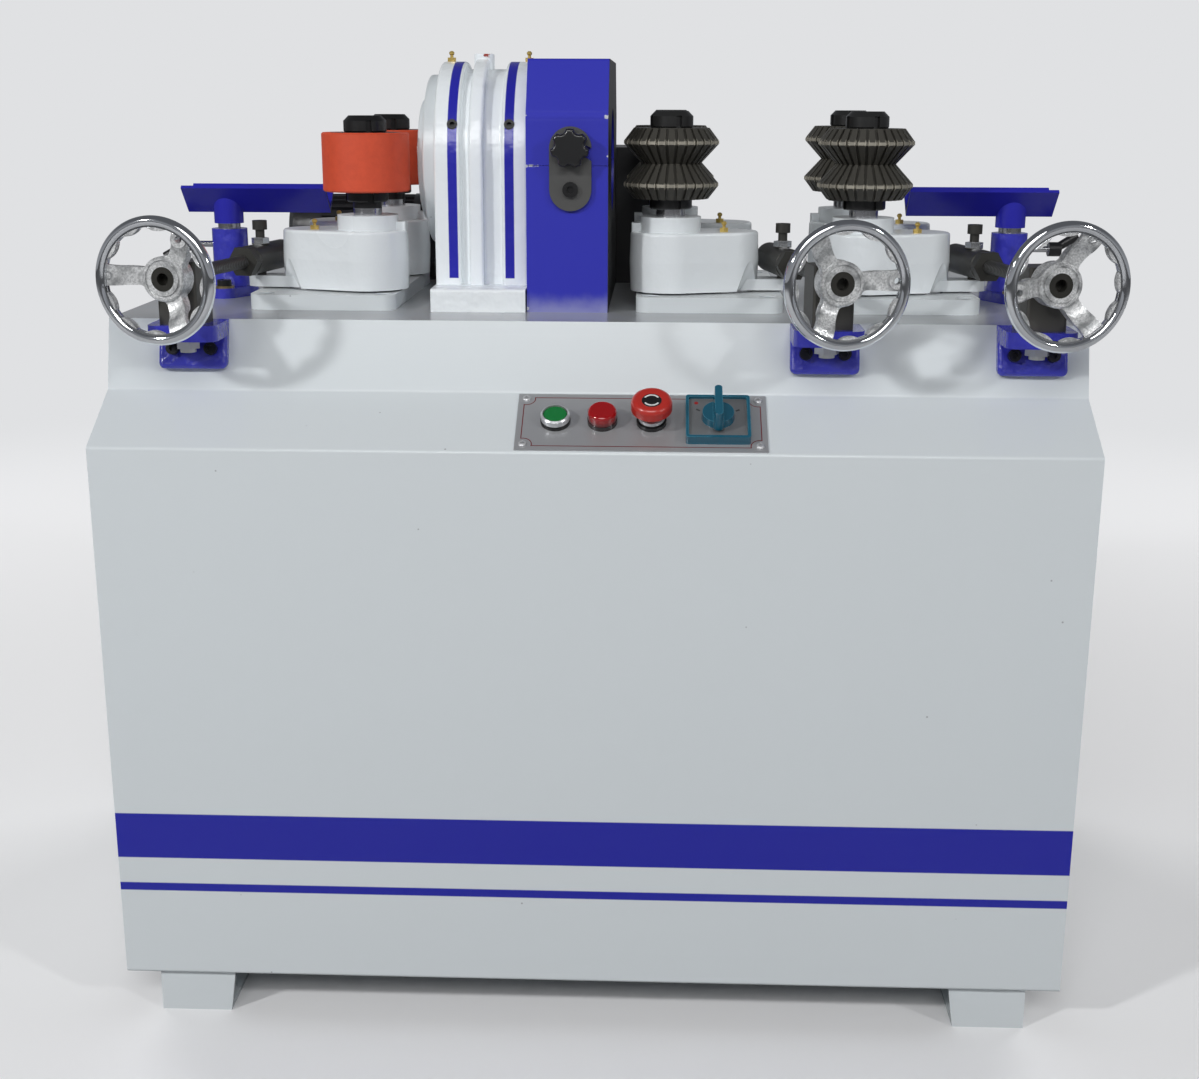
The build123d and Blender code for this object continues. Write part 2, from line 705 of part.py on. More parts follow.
with BuildPart() as spindle_housing:
    with BuildSketch(Plane.XY.offset(AXIS_Z)) as half_plan:
        Polygon(
            (HOUSING_LEFT, 0),
            (HOUSING_LEFT, HOUSING_RADIUS),
            (left_ring, HOUSING_RADIUS),
            (left_ring, housing_waist),
            (rib_left, housing_waist),
            (rib_left, rib_radius),
            (rib_right, rib_radius),
            (rib_right, housing_waist),
            (right_ring, housing_waist),
            (right_ring, HOUSING_RADIUS),
            (HOUSING_RIGHT, HOUSING_RADIUS),
            (HOUSING_RIGHT, 0),
            align=None,
        )
        fillet(half_plan.vertices().sort_by(Axis.Y)[2:], radius=HOUSING_EDGE)
    revolve(axis=STICK_AXIS, revolution_arc=180)
    extrude(half_plan.sketch, amount=AXIS_HEIGHT, dir=(0, 0, -1))
    extrude(half_plan.sketch.mirror(Plane.XZ), amount=AXIS_HEIGHT, dir=(0, 0, -1))
    with BuildSketch(ACROSS.offset(HOUSING_LEFT)) as foot_view:
        with Locations((0, TABLE_HEIGHT)):
            Rectangle(2 * HOUSING_FOOT[0], HOUSING_FOOT[1], align=(Align.CENTER, Align.MIN))
        fillet(foot_view.vertices().sort_by(Axis.Y)[2:], radius=HOUSING_FOOT_EDGE)
    extrude(amount=HOUSING_RIGHT - HOUSING_LEFT)
    with BuildSketch(Plane.XY.offset(AXIS_Z)) as lug:
        with Locations((rib_middle, 0)):
            RectangleRounded(*LUG_SIZE, radius=LUG_CORNER)
    extrude(amount=HOUSING_RADIUS + LUG_PROUD)
    with BuildSketch(ACROSS.offset(HOUSING_LEFT)) as bearing_bore:
        with Locations((0, AXIS_Z)):
            Circle(BEARING_RADIUS + BEARING_CLEARANCE)
    extrude(amount=HOUSING_RIGHT - HOUSING_LEFT, mode=Mode.SUBTRACT)
    extrude(belt_room, amount=belt_slot[0], mode=Mode.SUBTRACT)
    with BuildSketch(*set_screw_seats) as screw_holes:
        Circle(SET_SCREW_RADIUS + SCREW_CLEARANCE)
    extrude(amount=-SET_SCREW_LENGTH, mode=Mode.SUBTRACT)
save(spindle_housing, "spindle_housing")

with BuildPart() as outlet_cap:
    (flange_radius, flange_width), (nose_radius, nose_width) = OUTLET_STEPS
    flange_left = HOUSING_LEFT - flange_width
    nose_left = flange_left - nose_width
    outlet_hole = SPINDLE_RADIUS + OUTLET_HOLE_CLEARANCE
    with BuildSketch(STICK_SECTION) as cap_profile:
        Polygon(
            (HOUSING_LEFT, outlet_hole),
            (HOUSING_LEFT, flange_radius),
            (flange_left, flange_radius),
            (flange_left, nose_radius),
            (nose_left, nose_radius),
            (nose_left, outlet_hole),
            align=None,
        )
        cap_rims = [
            corner(cap_profile, flange_left, flange_radius),
            corner(cap_profile, nose_left, nose_radius),
        ]
        fillet(cap_rims, radius=OUTLET_EDGE)
    revolve(axis=STICK_AXIS)
save(outlet_cap, "outlet_cap")

bearing_starts = (HOUSING_LEFT, HOUSING_RIGHT - BEARING_WIDTH)
with BuildPart() as spindle_bearings:
    with BuildSketch(*[ACROSS.offset(start) for start in bearing_starts]) as bearing_face:
        with Locations((0, AXIS_Z)):
            Circle(BEARING_RADIUS)
            Circle(SPINDLE_RADIUS + BEARING_CLEARANCE, mode=Mode.SUBTRACT)
    extrude(amount=BEARING_WIDTH)
save(spindle_bearings, "spindle_bearings")

# Hollow spindle with its pulley, cutterhead and knives

cutter_left = GUARD_LEFT + GUARD_SHEET + SPINDLE_FLANGE_THICK
cutter_right = cutter_left + CUTTER_WIDTH
with BuildPart() as hollow_spindle:
    with BuildSketch(ACROSS.offset(SPINDLE_LEFT)) as spindle_section:
        with Locations((0, AXIS_Z)):
            Circle(SPINDLE_RADIUS)
            Circle(STICK_RADIUS, mode=Mode.SUBTRACT)
    extrude(amount=cutter_left - SPINDLE_LEFT)
    with BuildSketch(ACROSS.offset(cutter_left)) as spindle_flange:
        with Locations((0, AXIS_Z)):
            Circle(SPINDLE_FLANGE_RADIUS)
            Circle(STICK_RADIUS, mode=Mode.SUBTRACT)
    extrude(amount=-SPINDLE_FLANGE_THICK)
save(hollow_spindle, "hollow_spindle")


def grooved_pulley(radius, bore, axis):
    """Pulley section turned about the shaft, with one square groove for each belt."""
    half = PULLEY_WIDTH / 2
    groove_half = BELT_WIDTH / 2 + BELT_GAP
    points = [(BELT_X - half, bore), (BELT_X - half, radius)]
    for number in range(BELT_COUNT):
        middle = BELT_X + (number - (BELT_COUNT - 1) / 2) * BELT_PITCH
        points += [
            (middle - groove_half, radius),
            (middle - groove_half, radius - GROOVE_DEPTH),
            (middle + groove_half, radius - GROOVE_DEPTH),
            (middle + groove_half, radius),
        ]
    points += [(BELT_X + half, radius), (BELT_X + half, bore)]
    section = Plane(origin=(0, 0, axis.position.Z), x_dir=(1, 0, 0), z_dir=(0, -1, 0))
    with BuildPart() as pulley:
        with BuildSketch(section) as grooves:
            Polygon(*points, align=None)
        revolve(axis=axis)
    return pulley


MOTOR_Z = FOOT_HEIGHT + SHEET + MOTOR_HEIGHT
MOTOR_AXIS = Axis((0, 0, MOTOR_Z), (1, 0, 0))

save(grooved_pulley(SPINDLE_PULLEY_RADIUS, SPINDLE_RADIUS, STICK_AXIS), "spindle_pulley")

plain_pulley = grooved_pulley(MOTOR_PULLEY_RADIUS, MOTOR_SHAFT, MOTOR_AXIS)
with BuildPart() as motor_pulley:
    add(plain_pulley.part)
    with BuildSketch(ACROSS.offset(BELT_X - PULLEY_WIDTH / 2)) as motor_shaft:
        with Locations((0, MOTOR_Z)):
            Circle(MOTOR_SHAFT)
    extrude(amount=PULLEY_WIDTH + 2 * MOTOR_GAP)
save(motor_pulley, "motor_pulley")

with BuildPart() as drive_belts:
    first_belt = BELT_X - (BELT_COUNT - 1) / 2 * BELT_PITCH - BELT_WIDTH / 2
    motor_inside = MOTOR_PULLEY_RADIUS - GROOVE_DEPTH + BELT_GAP
    belt_planes = [ACROSS.offset(first_belt + number * BELT_PITCH) for number in range(BELT_COUNT)]
    with BuildSketch(*belt_planes) as belt_outline:
        with Locations((0, AXIS_Z)):
            Circle(belt_inside + BELT_THICK)
        with Locations((0, MOTOR_Z)):
            Circle(motor_inside + BELT_THICK)
        make_hull()
    extrude(amount=BELT_WIDTH)
    with BuildSketch(*belt_planes) as belt_hollow:
        with Locations((0, AXIS_Z)):
            Circle(belt_inside)
        with Locations((0, MOTOR_Z)):
            Circle(motor_inside)
        make_hull()
    extrude(amount=BELT_WIDTH, mode=Mode.SUBTRACT)
save(drive_belts, "drive_belts")

motor_left = BELT_X + PULLEY_WIDTH / 2 + MOTOR_GAP
with BuildPart() as main_motor:
    with BuildSketch(ACROSS.offset(motor_left)) as motor_section:
        with Locations((0, MOTOR_Z)):
            Circle(MOTOR_RADIUS)
    extrude(amount=MOTOR_LENGTH)
    chamfer(main_motor.edges().filter_by(GeomType.CIRCLE), length=MOTOR_EDGE)
    with BuildSketch(ACROSS.offset(motor_left + (MOTOR_LENGTH - MOTOR_FOOT[2]) / 2)) as motor_foot:
        with Locations((0, FOOT_HEIGHT + SHEET)):
            Rectangle(MOTOR_FOOT[0], MOTOR_FOOT[1], align=(Align.CENTER, Align.MIN))
            Rectangle(*MOTOR_SADDLE, align=(Align.CENTER, Align.MIN))
    extrude(amount=MOTOR_FOOT[2])
    with BuildSketch(ACROSS.offset(motor_left)) as shaft_bore:
        with Locations((0, MOTOR_Z)):
            Circle(MOTOR_SHAFT + RUNNING_CLEARANCE)
    extrude(amount=MOTOR_GAP, mode=Mode.SUBTRACT)
save(main_motor, "main_motor")

knife_inner = STICK_RADIUS + CUTTER_BORE_CLEARANCE
with BuildPart() as cutterhead:
    with BuildSketch(STICK_SECTION) as cutter_profile:
        Polygon(
            (cutter_left, STICK_RADIUS),
            (cutter_left, CUTTER_RADIUS - CUTTER_EDGE),
            (cutter_left + CUTTER_EDGE, CUTTER_RADIUS),
            (cutter_right, CUTTER_RADIUS),
            (cutter_right, CUTTER_MOUTH),
            (cutter_left + CUTTER_COLLAR, STICK_RADIUS),
            align=None,
        )
    revolve(axis=STICK_AXIS)
    knife_start = cutter_right - KNIFE_SIZE[2] + KNIFE_PROUD
    with BuildSketch(ACROSS.offset(knife_start)) as knife_slots:
        with Locations((0, AXIS_Z)):
            with PolarLocations(knife_inner, KNIFE_COUNT, start_angle=KNIFE_START):
                Rectangle(KNIFE_SIZE[0], KNIFE_SIZE[1], align=(Align.MIN, Align.CENTER))
    extrude(amount=KNIFE_SIZE[2], mode=Mode.SUBTRACT)
    with BuildSketch(ACROSS.offset(knife_start)) as knives:
        with Locations((0, AXIS_Z)):
            with PolarLocations(knife_inner, KNIFE_COUNT, start_angle=KNIFE_START):
                Rectangle(KNIFE_SIZE[0], KNIFE_SIZE[1], align=(Align.MIN, Align.CENTER))
    extrude(amount=KNIFE_SIZE[2])
save(cutterhead, "cutterhead")

# Guard: folded sheet box over the cutterhead, split at the stick's height

guard_outline = (
    (-GUARD_DEPTH, TABLE_HEIGHT),
    (-GUARD_DEPTH, TABLE_HEIGHT + GUARD_SHOULDER),
    (-GUARD_TOP_DEPTH, TABLE_HEIGHT + GUARD_TOP),
    (GUARD_TOP_DEPTH, TABLE_HEIGHT + GUARD_TOP),
    (GUARD_DEPTH, TABLE_HEIGHT + GUARD_SHOULDER),
    (GUARD_DEPTH, TABLE_HEIGHT),
)
split_height = TABLE_HEIGHT + GUARD_SPLIT

with BuildPart() as whole_guard:
    with BuildSketch(ACROSS.offset(GUARD_LEFT)) as outside:
        Polygon(*guard_outline, align=None)
        fillet(outside.vertices().sort_by(Axis.Y)[2:], radius=GUARD_FOLD)
    extrude(amount=GUARD_RIGHT - GUARD_LEFT)
    with BuildSketch(ACROSS.offset(GUARD_LEFT + GUARD_SHEET)) as inside:
        Polygon(*guard_outline, align=None)
        offset(amount=-GUARD_SHEET, kind=Kind.INTERSECTION, mode=Mode.REPLACE)
        with Locations((0, TABLE_HEIGHT)):
            Rectangle(2 * (GUARD_DEPTH - GUARD_SHEET), GUARD_SHEET * 2)
    extrude(amount=GUARD_RIGHT - GUARD_LEFT - 2 * GUARD_SHEET, mode=Mode.SUBTRACT)
    with BuildSketch(ACROSS.offset(GUARD_LEFT)) as spindle_hole:
        with Locations((0, AXIS_Z)):
            Circle(GUARD_LEFT_HOLE)
    extrude(amount=GUARD_SHEET, mode=Mode.SUBTRACT)
    with BuildSketch(ACROSS.offset(GUARD_RIGHT)) as stick_hole:
        with Locations((0, AXIS_Z)):
            Circle(GUARD_RIGHT_HOLE)
    extrude(amount=-GUARD_SHEET, mode=Mode.SUBTRACT)

with BuildPart() as guard_base:
    add(whole_guard.part)
    split(bisect_by=Plane.XY.offset(split_height), keep=Keep.BOTTOM)
    with BuildSketch(Plane.XZ.offset(-GUARD_DEPTH)) as chip_hole:
        with Locations(((GUARD_LEFT + GUARD_RIGHT) / 2, TABLE_HEIGHT + CHUTE_HEIGHT / 2)):
            Rectangle(CHUTE_MOUTH[0], CHUTE_MOUTH[1])
    extrude(amount=GUARD_SHEET, mode=Mode.SUBTRACT)
save(guard_base, "guard_base")

with BuildPart() as guard_cover:
    add(whole_guard.part)
    split(bisect_by=Plane.XY.offset(split_height + GUARD_SEAM), keep=Keep.TOP)
save(guard_cover, "guard_cover")

with BuildPart() as chip_chute:
    chute_left = GUARD_LEFT
    chute_width = CHUTE_RIGHT - chute_left
    with BuildSketch(Plane.XZ.offset(-GUARD_DEPTH)) as chute_outside:
        with Locations(((chute_left + CHUTE_RIGHT) / 2, TABLE_HEIGHT)):
            Rectangle(chute_width, CHUTE_HEIGHT, align=(Align.CENTER, Align.MIN))
    extrude(amount=-CHUTE_DEPTH)
    offset(amount=-CHUTE_SHEET, openings=chip_chute.faces().sort_by(Axis.Y)[-1])
    with BuildSketch(Plane.XZ.offset(-GUARD_DEPTH)) as chute_inlet:
        with Locations(((GUARD_LEFT + GUARD_RIGHT) / 2, TABLE_HEIGHT + CHUTE_HEIGHT / 2)):
            Rectangle(CHUTE_MOUTH[0], CHUTE_MOUTH[1])
    extrude(amount=-CHUTE_SHEET, mode=Mode.SUBTRACT)
save(chip_chute, "chip_chute")

# Guard latch: a hook plate on a shoulder screw, held by a star knob

front_of_guard = Plane.XZ.offset(GUARD_DEPTH)
latch_face = front_of_guard.offset(LATCH_STAND_OFF)
latch_pivot = (LATCH_X, TABLE_HEIGHT + LATCH_PIVOT_RISE)
knob_place = (LATCH_X, latch_pivot[1] + LATCH_REACH)

with BuildPart() as latch_plate:
    with BuildSketch(latch_face) as latch_outline:
        with Locations(latch_pivot, knob_place):
            Circle(LATCH_WIDTH / 2)
        make_hull()
        with Locations(latch_pivot):
            Circle(LATCH_SCREW_RADIUS + RUNNING_CLEARANCE, mode=Mode.SUBTRACT)
    extrude(amount=LATCH_THICK)
    with BuildSketch(latch_face) as hook_slot:
        with Locations(latch_pivot):
            Circle(LATCH_REACH + LATCH_SLOT / 2)
            Circle(LATCH_REACH - LATCH_SLOT / 2, mode=Mode.SUBTRACT)
        with Locations(knob_place):
            Rectangle(LATCH_WIDTH, LATCH_WIDTH, align=(Align.MIN, Align.CENTER), mode=Mode.INTERSECT)
            Circle(LATCH_SLOT / 2)
    extrude(amount=LATCH_THICK, mode=Mode.SUBTRACT)
save(latch_plate, "latch_plate")

with BuildPart() as star_knob:
    knob_face = latch_face.offset(LATCH_THICK + LATCH_STAND_OFF)
    with BuildSketch(knob_face) as knob_lobes:
        with Locations(knob_place):
            Circle(KNOB_RADIUS)
            with PolarLocations(KNOB_NOTCH[0], KNOB_LOBES, start_angle=90 + 180 / KNOB_LOBES):
                Circle(KNOB_NOTCH[1], mode=Mode.SUBTRACT)
        fillet(knob_lobes.vertices(), radius=KNOB_NOTCH_EDGE)
    extrude(amount=KNOB_THICK)
    fillet(star_knob.faces().sort_by(Axis.Y)[0].edges(), radius=KNOB_EDGE)
    with BuildSketch(front_of_guard) as knob_stud:
        with Locations(knob_place):
            Circle(KNOB_STUD)
    extrude(amount=LATCH_THICK + 2 * LATCH_STAND_OFF)
save(star_knob, "star_knob")

# Base plates with their pivot posts

screw_shank, screw_head, screw_head_height = CAP_SCREW
base_corners = []
base_middles = []
pivots = []
for station, station_x, side, boss_angle in STATIONS:
    inboard = station_x - side * BASE_INBOARD
    outboard = station_x + side * BASE_OUTBOARD
    base_middles.append(((inboard + outboard) / 2, 0))
    for corner_x in (inboard + side * BASE_SCREW_INSET, outboard - side * BASE_SCREW_INSET):
        base_corners += [
            (corner_x, BASE_DEPTH - BASE_SCREW_INSET),
            (corner_x, BASE_SCREW_INSET - BASE_DEPTH),
        ]
    pivots += [(station_x + side * PIVOT_X, -PIVOT_OFFSET), (station_x + side * PIVOT_X, PIVOT_OFFSET)]

base_seat = TABLE_HEIGHT + BASE_THICK - screw_head_height - BASE_SCREW_SUNK
with BuildPart() as arm_base_plates:
    with BuildSketch(Plane.XY.offset(TABLE_HEIGHT)) as base_outline:
        with Locations(*base_middles):
            RectangleRounded(BASE_INBOARD + BASE_OUTBOARD, 2 * BASE_DEPTH, radius=BASE_CORNER)
        with Locations(*base_corners):
            Circle(screw_shank + SCREW_CLEARANCE, mode=Mode.SUBTRACT)
    extrude(amount=BASE_THICK)
    with BuildSketch(Plane.XY.offset(base_seat)) as recesses:
        with Locations(*base_corners):
            Circle(screw_head + BASE_RECESS_CLEARANCE)
    extrude(amount=BASE_THICK, mode=Mode.SUBTRACT)
save(arm_base_plates, "arm_base_plates")

with BuildPart() as pivot_posts:
    with BuildSketch(Plane.XY.offset(TABLE_HEIGHT + BASE_THICK)) as thrust_washers:
        with Locations(*pivots):
            Circle(WASHER_RADIUS)
    extrude(amount=WASHER_THICK)
    with BuildSketch(Plane.XY.offset(ARM_BOTTOM)) as pins:
        with Locations(*pivots):
            Circle(POST_RADIUS)
    extrude(amount=POST_HEIGHT)
save(pivot_posts, "pivot_posts")

# Swinging arms: a casting round the roller spindle and the pivot, a toothed sector towards the other
# arm of the pair and, in front, an ear for the adjuster

tooth_step = 360 / SECTOR_TEETH
root_radius = PIVOT_OFFSET - TOOTH_DEDENDUM
tip_radius = PIVOT_OFFSET + TOOTH_ADDENDUM


def turned(plane_origin, angle):
    return Plane(origin=plane_origin, x_dir=(cos(radians(angle)), sin(radians(angle)), 0), z_dir=(0, 0, 1))


def build_arm(station_x, side, depth_side):
    """One arm; depth_side is -1 in front of the stick and 1 behind it."""
    roller = (station_x, depth_side * ROLLER_OFFSET)
    pivot = (station_x + side * PIVOT_X, depth_side * PIVOT_OFFSET)
    with BuildPart() as arm:
        with BuildSketch(Plane.XY.offset(ARM_BOTTOM + ARM_HEIGHT / 2)) as outline:
            with Locations(roller):
                Circle(ARM_ROLLER_END)
            with Locations(pivot):
                Circle(ARM_PIVOT_END)
            make_hull()
        extrude(amount=ARM_HEIGHT / 2, both=True, taper=ARM_DRAFT)
        fillet(arm.faces().sort_by(Axis.Z)[-1].edges(), radius=ARM_EDGE)
        with BuildSketch(Plane.XY.offset(ARM_TOP)) as boss:
            with Locations(roller):
                Circle(BOSS_RADIUS)
        extrude(amount=BOSS_HEIGHT)
        with BuildSketch(Plane.XY.offset(ARM_BOTTOM + ARM_HEIGHT / 2)) as lug:
            lug_x = station_x - side * (ARM_ROLLER_END - ARM_LUG[0] / 2 - ARM_LUG_INSET)
            with Locations((lug_x, depth_side * ROLLER_OFFSET)):
                RectangleRounded(*ARM_LUG, radius=ARM_LUG_CORNER)
        extrude(amount=ARM_HEIGHT / 2 + ARM_LUG_RISE)
        scoop_place = (
            pivot[0] + side * ARM_SCOOP_OUT / sqrt(2),
            pivot[1] + depth_side * ARM_SCOOP_OUT / sqrt(2),
            ARM_BOTTOM,
        )
        with BuildSketch(radial_planes(scoop_place, 1)[0]) as scoop:
            Polygon(
                (0, 0),
                (ARM_SCOOP_RADII[0], 0),
                (ARM_SCOOP_RADII[1], ARM_SCOOP_HEIGHT),
                (0, ARM_SCOOP_HEIGHT),
                align=None,
            )
        revolve(axis=Axis(scoop_place, (0, 0, 1)), mode=Mode.SUBTRACT)
        toward_axis = -90 * depth_side
        closing = -side * depth_side
        first_angle = toward_axis - closing * (SECTOR_BEFORE + 0.5) * tooth_step
        last_angle = toward_axis + closing * (SECTOR_AFTER + 0.5) * tooth_step
        pivot_origin = (pivot[0], pivot[1], ARM_BOTTOM)
        with BuildSketch(Plane.XY.offset(ARM_BOTTOM)) as sector:
            with Locations(pivot):
                Circle(root_radius + SECTOR_RIM)
            wedge_reach = 2 * tip_radius
            wedge = [pivot]
            for angle in (first_angle, (first_angle + last_angle) / 2, last_angle):
                wedge.append(
                    (
                        pivot[0] + wedge_reach * cos(radians(angle)),
                        pivot[1] + wedge_reach * sin(radians(angle)),
                    )
                )
            Polygon(*wedge, align=None, mode=Mode.INTERSECT)
        extrude(amount=EAR_THICK)
        shift = 0.0 if depth_side < 0 else 0.5
        last_tooth = SECTOR_AFTER if depth_side < 0 else SECTOR_AFTER - 1
        numbers = range(-SECTOR_BEFORE, last_tooth + 1)
        tooth_planes = [
            turned(pivot_origin, toward_axis + closing * (number + shift) * tooth_step) for number in numbers
        ]
        with BuildSketch(*tooth_planes) as teeth:
            Polygon(
                (root_radius - TOOTH_ROOT_SUNK, -TOOTH_ROOT_HALF),
                (root_radius, -TOOTH_ROOT_HALF),
                (tip_radius, -TOOTH_TIP_HALF),
                (tip_radius, TOOTH_TIP_HALF),
                (root_radius, TOOTH_ROOT_HALF),
                (root_radius - TOOTH_ROOT_SUNK, TOOTH_ROOT_HALF),
                align=None,
            )
        extrude(amount=EAR_THICK)
        if depth_side < 0:
            trunnion = (pivot[0] + side * EAR_LEVER, pivot[1])
            with BuildSketch(Plane.XY.offset(ARM_BOTTOM)) as ear:
                with Locations(pivot):
                    Circle(EAR_ROOT_RADIUS)
                with Locations(trunnion):
                    Circle(EAR_RADIUS)
                make_hull()
                with Locations(trunnion):
                    Circle(TRUNNION_RADIUS + EAR_PIN_PLAY, mode=Mode.SUBTRACT)
            extrude(amount=EAR_THICK)
            pocket_half = TUBE_RADIUS + TUBE_POCKET_GAP
            pocket_turn = TUBE_POCKET_TURN if side > 0 else 180 - TUBE_POCKET_TURN
            pocket_floor = turned((pivot[0], pivot[1], SCREW_Z - pocket_half), pocket_turn)
            with BuildSketch(pocket_floor) as tube_pocket:
                with Locations((TUBE_POCKET, 0)):
                    Rectangle(ARM_PIVOT_END, 2 * ARM_PIVOT_END, align=(Align.MIN, Align.CENTER))
            extrude(amount=2 * pocket_half, mode=Mode.SUBTRACT)
        with BuildSketch(Plane.XY.offset(ARM_BOTTOM)) as pivot_bore:
            with Locations(pivot):
                Circle(POST_RADIUS + RUNNING_CLEARANCE)
        extrude(amount=POST_HEIGHT + WASHER_THICK, mode=Mode.SUBTRACT)
        with BuildSketch(Plane.XY.offset(BOSS_TOP)) as shaft_bore:
            with Locations(roller):
                Circle(SHAFT_RADIUS + RUNNING_CLEARANCE)
        extrude(amount=-SHAFT_DEPTH, mode=Mode.SUBTRACT)
    return arm


def spindle_and_nuts(centre, half_height):
    """Roller spindle from its bore in the arm to the top nut, with a slotted nut below and above."""
    bottom = BOSS_TOP - SHAFT_DEPTH + SHAFT_END_GAP - AXIS_Z
    lower_nut = -half_height - LOWER_NUT_THICK
    upper_nut = half_height + UPPER_NUT_THICK
    section = radial_planes(centre, 1)[0]
    axis = Axis(centre, (0, 0, 1))
    slot_places = (
        (NUT_RADIUS, half_height + UPPER_NUT_THICK / 2),
        (NUT_RADIUS, -half_height - LOWER_NUT_THICK / 2),
    )
    with BuildPart() as spindle:
        with BuildSketch(section) as shaft:
            Polygon(
                (0, bottom),
                (SHAFT_RADIUS, bottom),
                (SHAFT_RADIUS, half_height),
                (0, half_height),
                align=None,
            )
        revolve(axis=axis)
        with BuildSketch(section) as nuts:
            Polygon(
                (0, lower_nut),
                (NUT_RADIUS - NUT_EDGE, lower_nut),
                (NUT_RADIUS, lower_nut + NUT_EDGE),
                (NUT_RADIUS, -half_height),
                (0, -half_height),
                align=None,
            )
            Polygon(
                (0, half_height),
                (NUT_RADIUS - NUT_EDGE, half_height),
                (NUT_RADIUS, half_height + NUT_EDGE),
                (NUT_RADIUS, upper_nut),
                (UPPER_NUT_CONE[0], upper_nut + UPPER_NUT_CONE[1]),
                (0, upper_nut + UPPER_NUT_CONE[1]),
                align=None,
            )
        revolve(axis=axis)
        with BuildSketch(*radial_planes(centre, NUT_SLOTS, NUT_SLOT_START)) as slots:
            with Locations(*slot_places):
                Rectangle(2 * NUT_SLOT[1], NUT_SLOT[2])
        extrude(amount=NUT_SLOT[0] / 2, both=True, mode=Mode.SUBTRACT)
    return spindle


v_profile = (
    (V_END_RADIUS, -V_HALF),
    (V_CREST_RADIUS, -V_CREST_RISE - V_CREST_FLAT / 2),
    (V_CREST_RADIUS, -V_CREST_RISE + V_CREST_FLAT / 2),
    (V_VALLEY_RADIUS, 0),
    (V_CREST_RADIUS, V_CREST_RISE - V_CREST_FLAT / 2),
    (V_CREST_RADIUS, V_CREST_RISE + V_CREST_FLAT / 2),
    (V_END_RADIUS, V_HALF),
)
slot_floor = [(radius - TOOTH_SLOT_DEPTH, height) for radius, height in v_profile]
slot_reach = V_CREST_RADIUS + TOOTH_SLOT_DEPTH


def toothed_roller(centre):
    """Double cone with a valley for the stick, cut by radial slots into teeth."""
    with BuildPart() as roller:
        with BuildSketch(radial_planes(centre, 1)[0]) as body:
            Polygon((0, -V_HALF), *v_profile, (0, V_HALF), align=None)
        revolve(axis=Axis(centre, (0, 0, 1)))
        with BuildSketch(*radial_planes(centre, TOOTH_COUNT)) as slots:
            Polygon((slot_reach, -V_HALF), *slot_floor, (slot_reach, V_HALF), align=None)
        extrude(amount=TOOTH_SLOT / 2, both=True, mode=Mode.SUBTRACT)
    return roller


for station, station_x, side, boss_angle in STATIONS:
    for place, depth_side in (("front", -1), ("rear", 1)):
        save(build_arm(station_x, side, depth_side), f"{station}_arm_{place}")
        centre = (station_x, depth_side * ROLLER_OFFSET, AXIS_Z)
        if station == "outfeed":
            with BuildPart() as rubber_roller:
                with BuildSketch(radial_planes(centre, 1)[0]) as rubber:
                    with Locations(((CORE_RADIUS + RUBBER_RADIUS) / 2, 0)):
                        Rectangle(RUBBER_RADIUS - CORE_RADIUS, 2 * RUBBER_HALF)
                    rims = rubber.vertices().group_by(Axis.X)[-1]
                    chamfer(rims, length=RUBBER_EDGE)
                revolve(axis=Axis(centre, (0, 0, 1)))
            save(rubber_roller, f"{station}_roller_{place}")
            plain_spindle = spindle_and_nuts(centre, RUBBER_HALF)
            with BuildPart() as roller_spindle:
                add(plain_spindle.part)
                with BuildSketch(radial_planes(centre, 1)[0]) as core:
                    Rectangle(CORE_RADIUS, 2 * RUBBER_HALF, align=(Align.MIN, Align.CENTER))
                revolve(axis=Axis(centre, (0, 0, 1)))
            save(roller_spindle, f"{station}_spindle_{place}")
        else:
            plain_spindle = spindle_and_nuts(centre, V_HALF)
            teeth = toothed_roller(centre)
            with BuildPart() as feed_roller:
                add(plain_spindle.part)
                add(teeth.part)
            save(feed_roller, f"{station}_roller_{place}")

# Handwheel adjusters: bracket, swivel block, screw, handwheel and the spring tube that moves the front arm

lean = atan2(SLOPE_DROP, CABINET_FRONT - SLOPE_RUN - TABLE_FRONT)
lean_normal = (0, -sin(lean), cos(lean))
bracket_bottom = TABLE_HEIGHT - BRACKET_HEIGHT
shelf_bottom = TABLE_HEIGHT - SHELF_THICK
screw_height = TABLE_HEIGHT - BRACKET_SCREW_DROP
bracket_screw_planes = []
stud_places = []
bracket_spans = []
for station, station_x, side, boss_angle in STATIONS:
    bracket_middle = station_x + side * BRACKET_X
    bracket_spans.append(bracket_middle)
    stud_places.append((bracket_middle, -SWIVEL_Y))
    for across in (-BRACKET_SCREW_SPACING / 2, BRACKET_SCREW_SPACING / 2):
        seat = (bracket_middle + across, lean_y(screw_height), screw_height)
        bracket_screw_planes.append(Plane(origin=seat, x_dir=(1, 0, 0), z_dir=lean_normal))

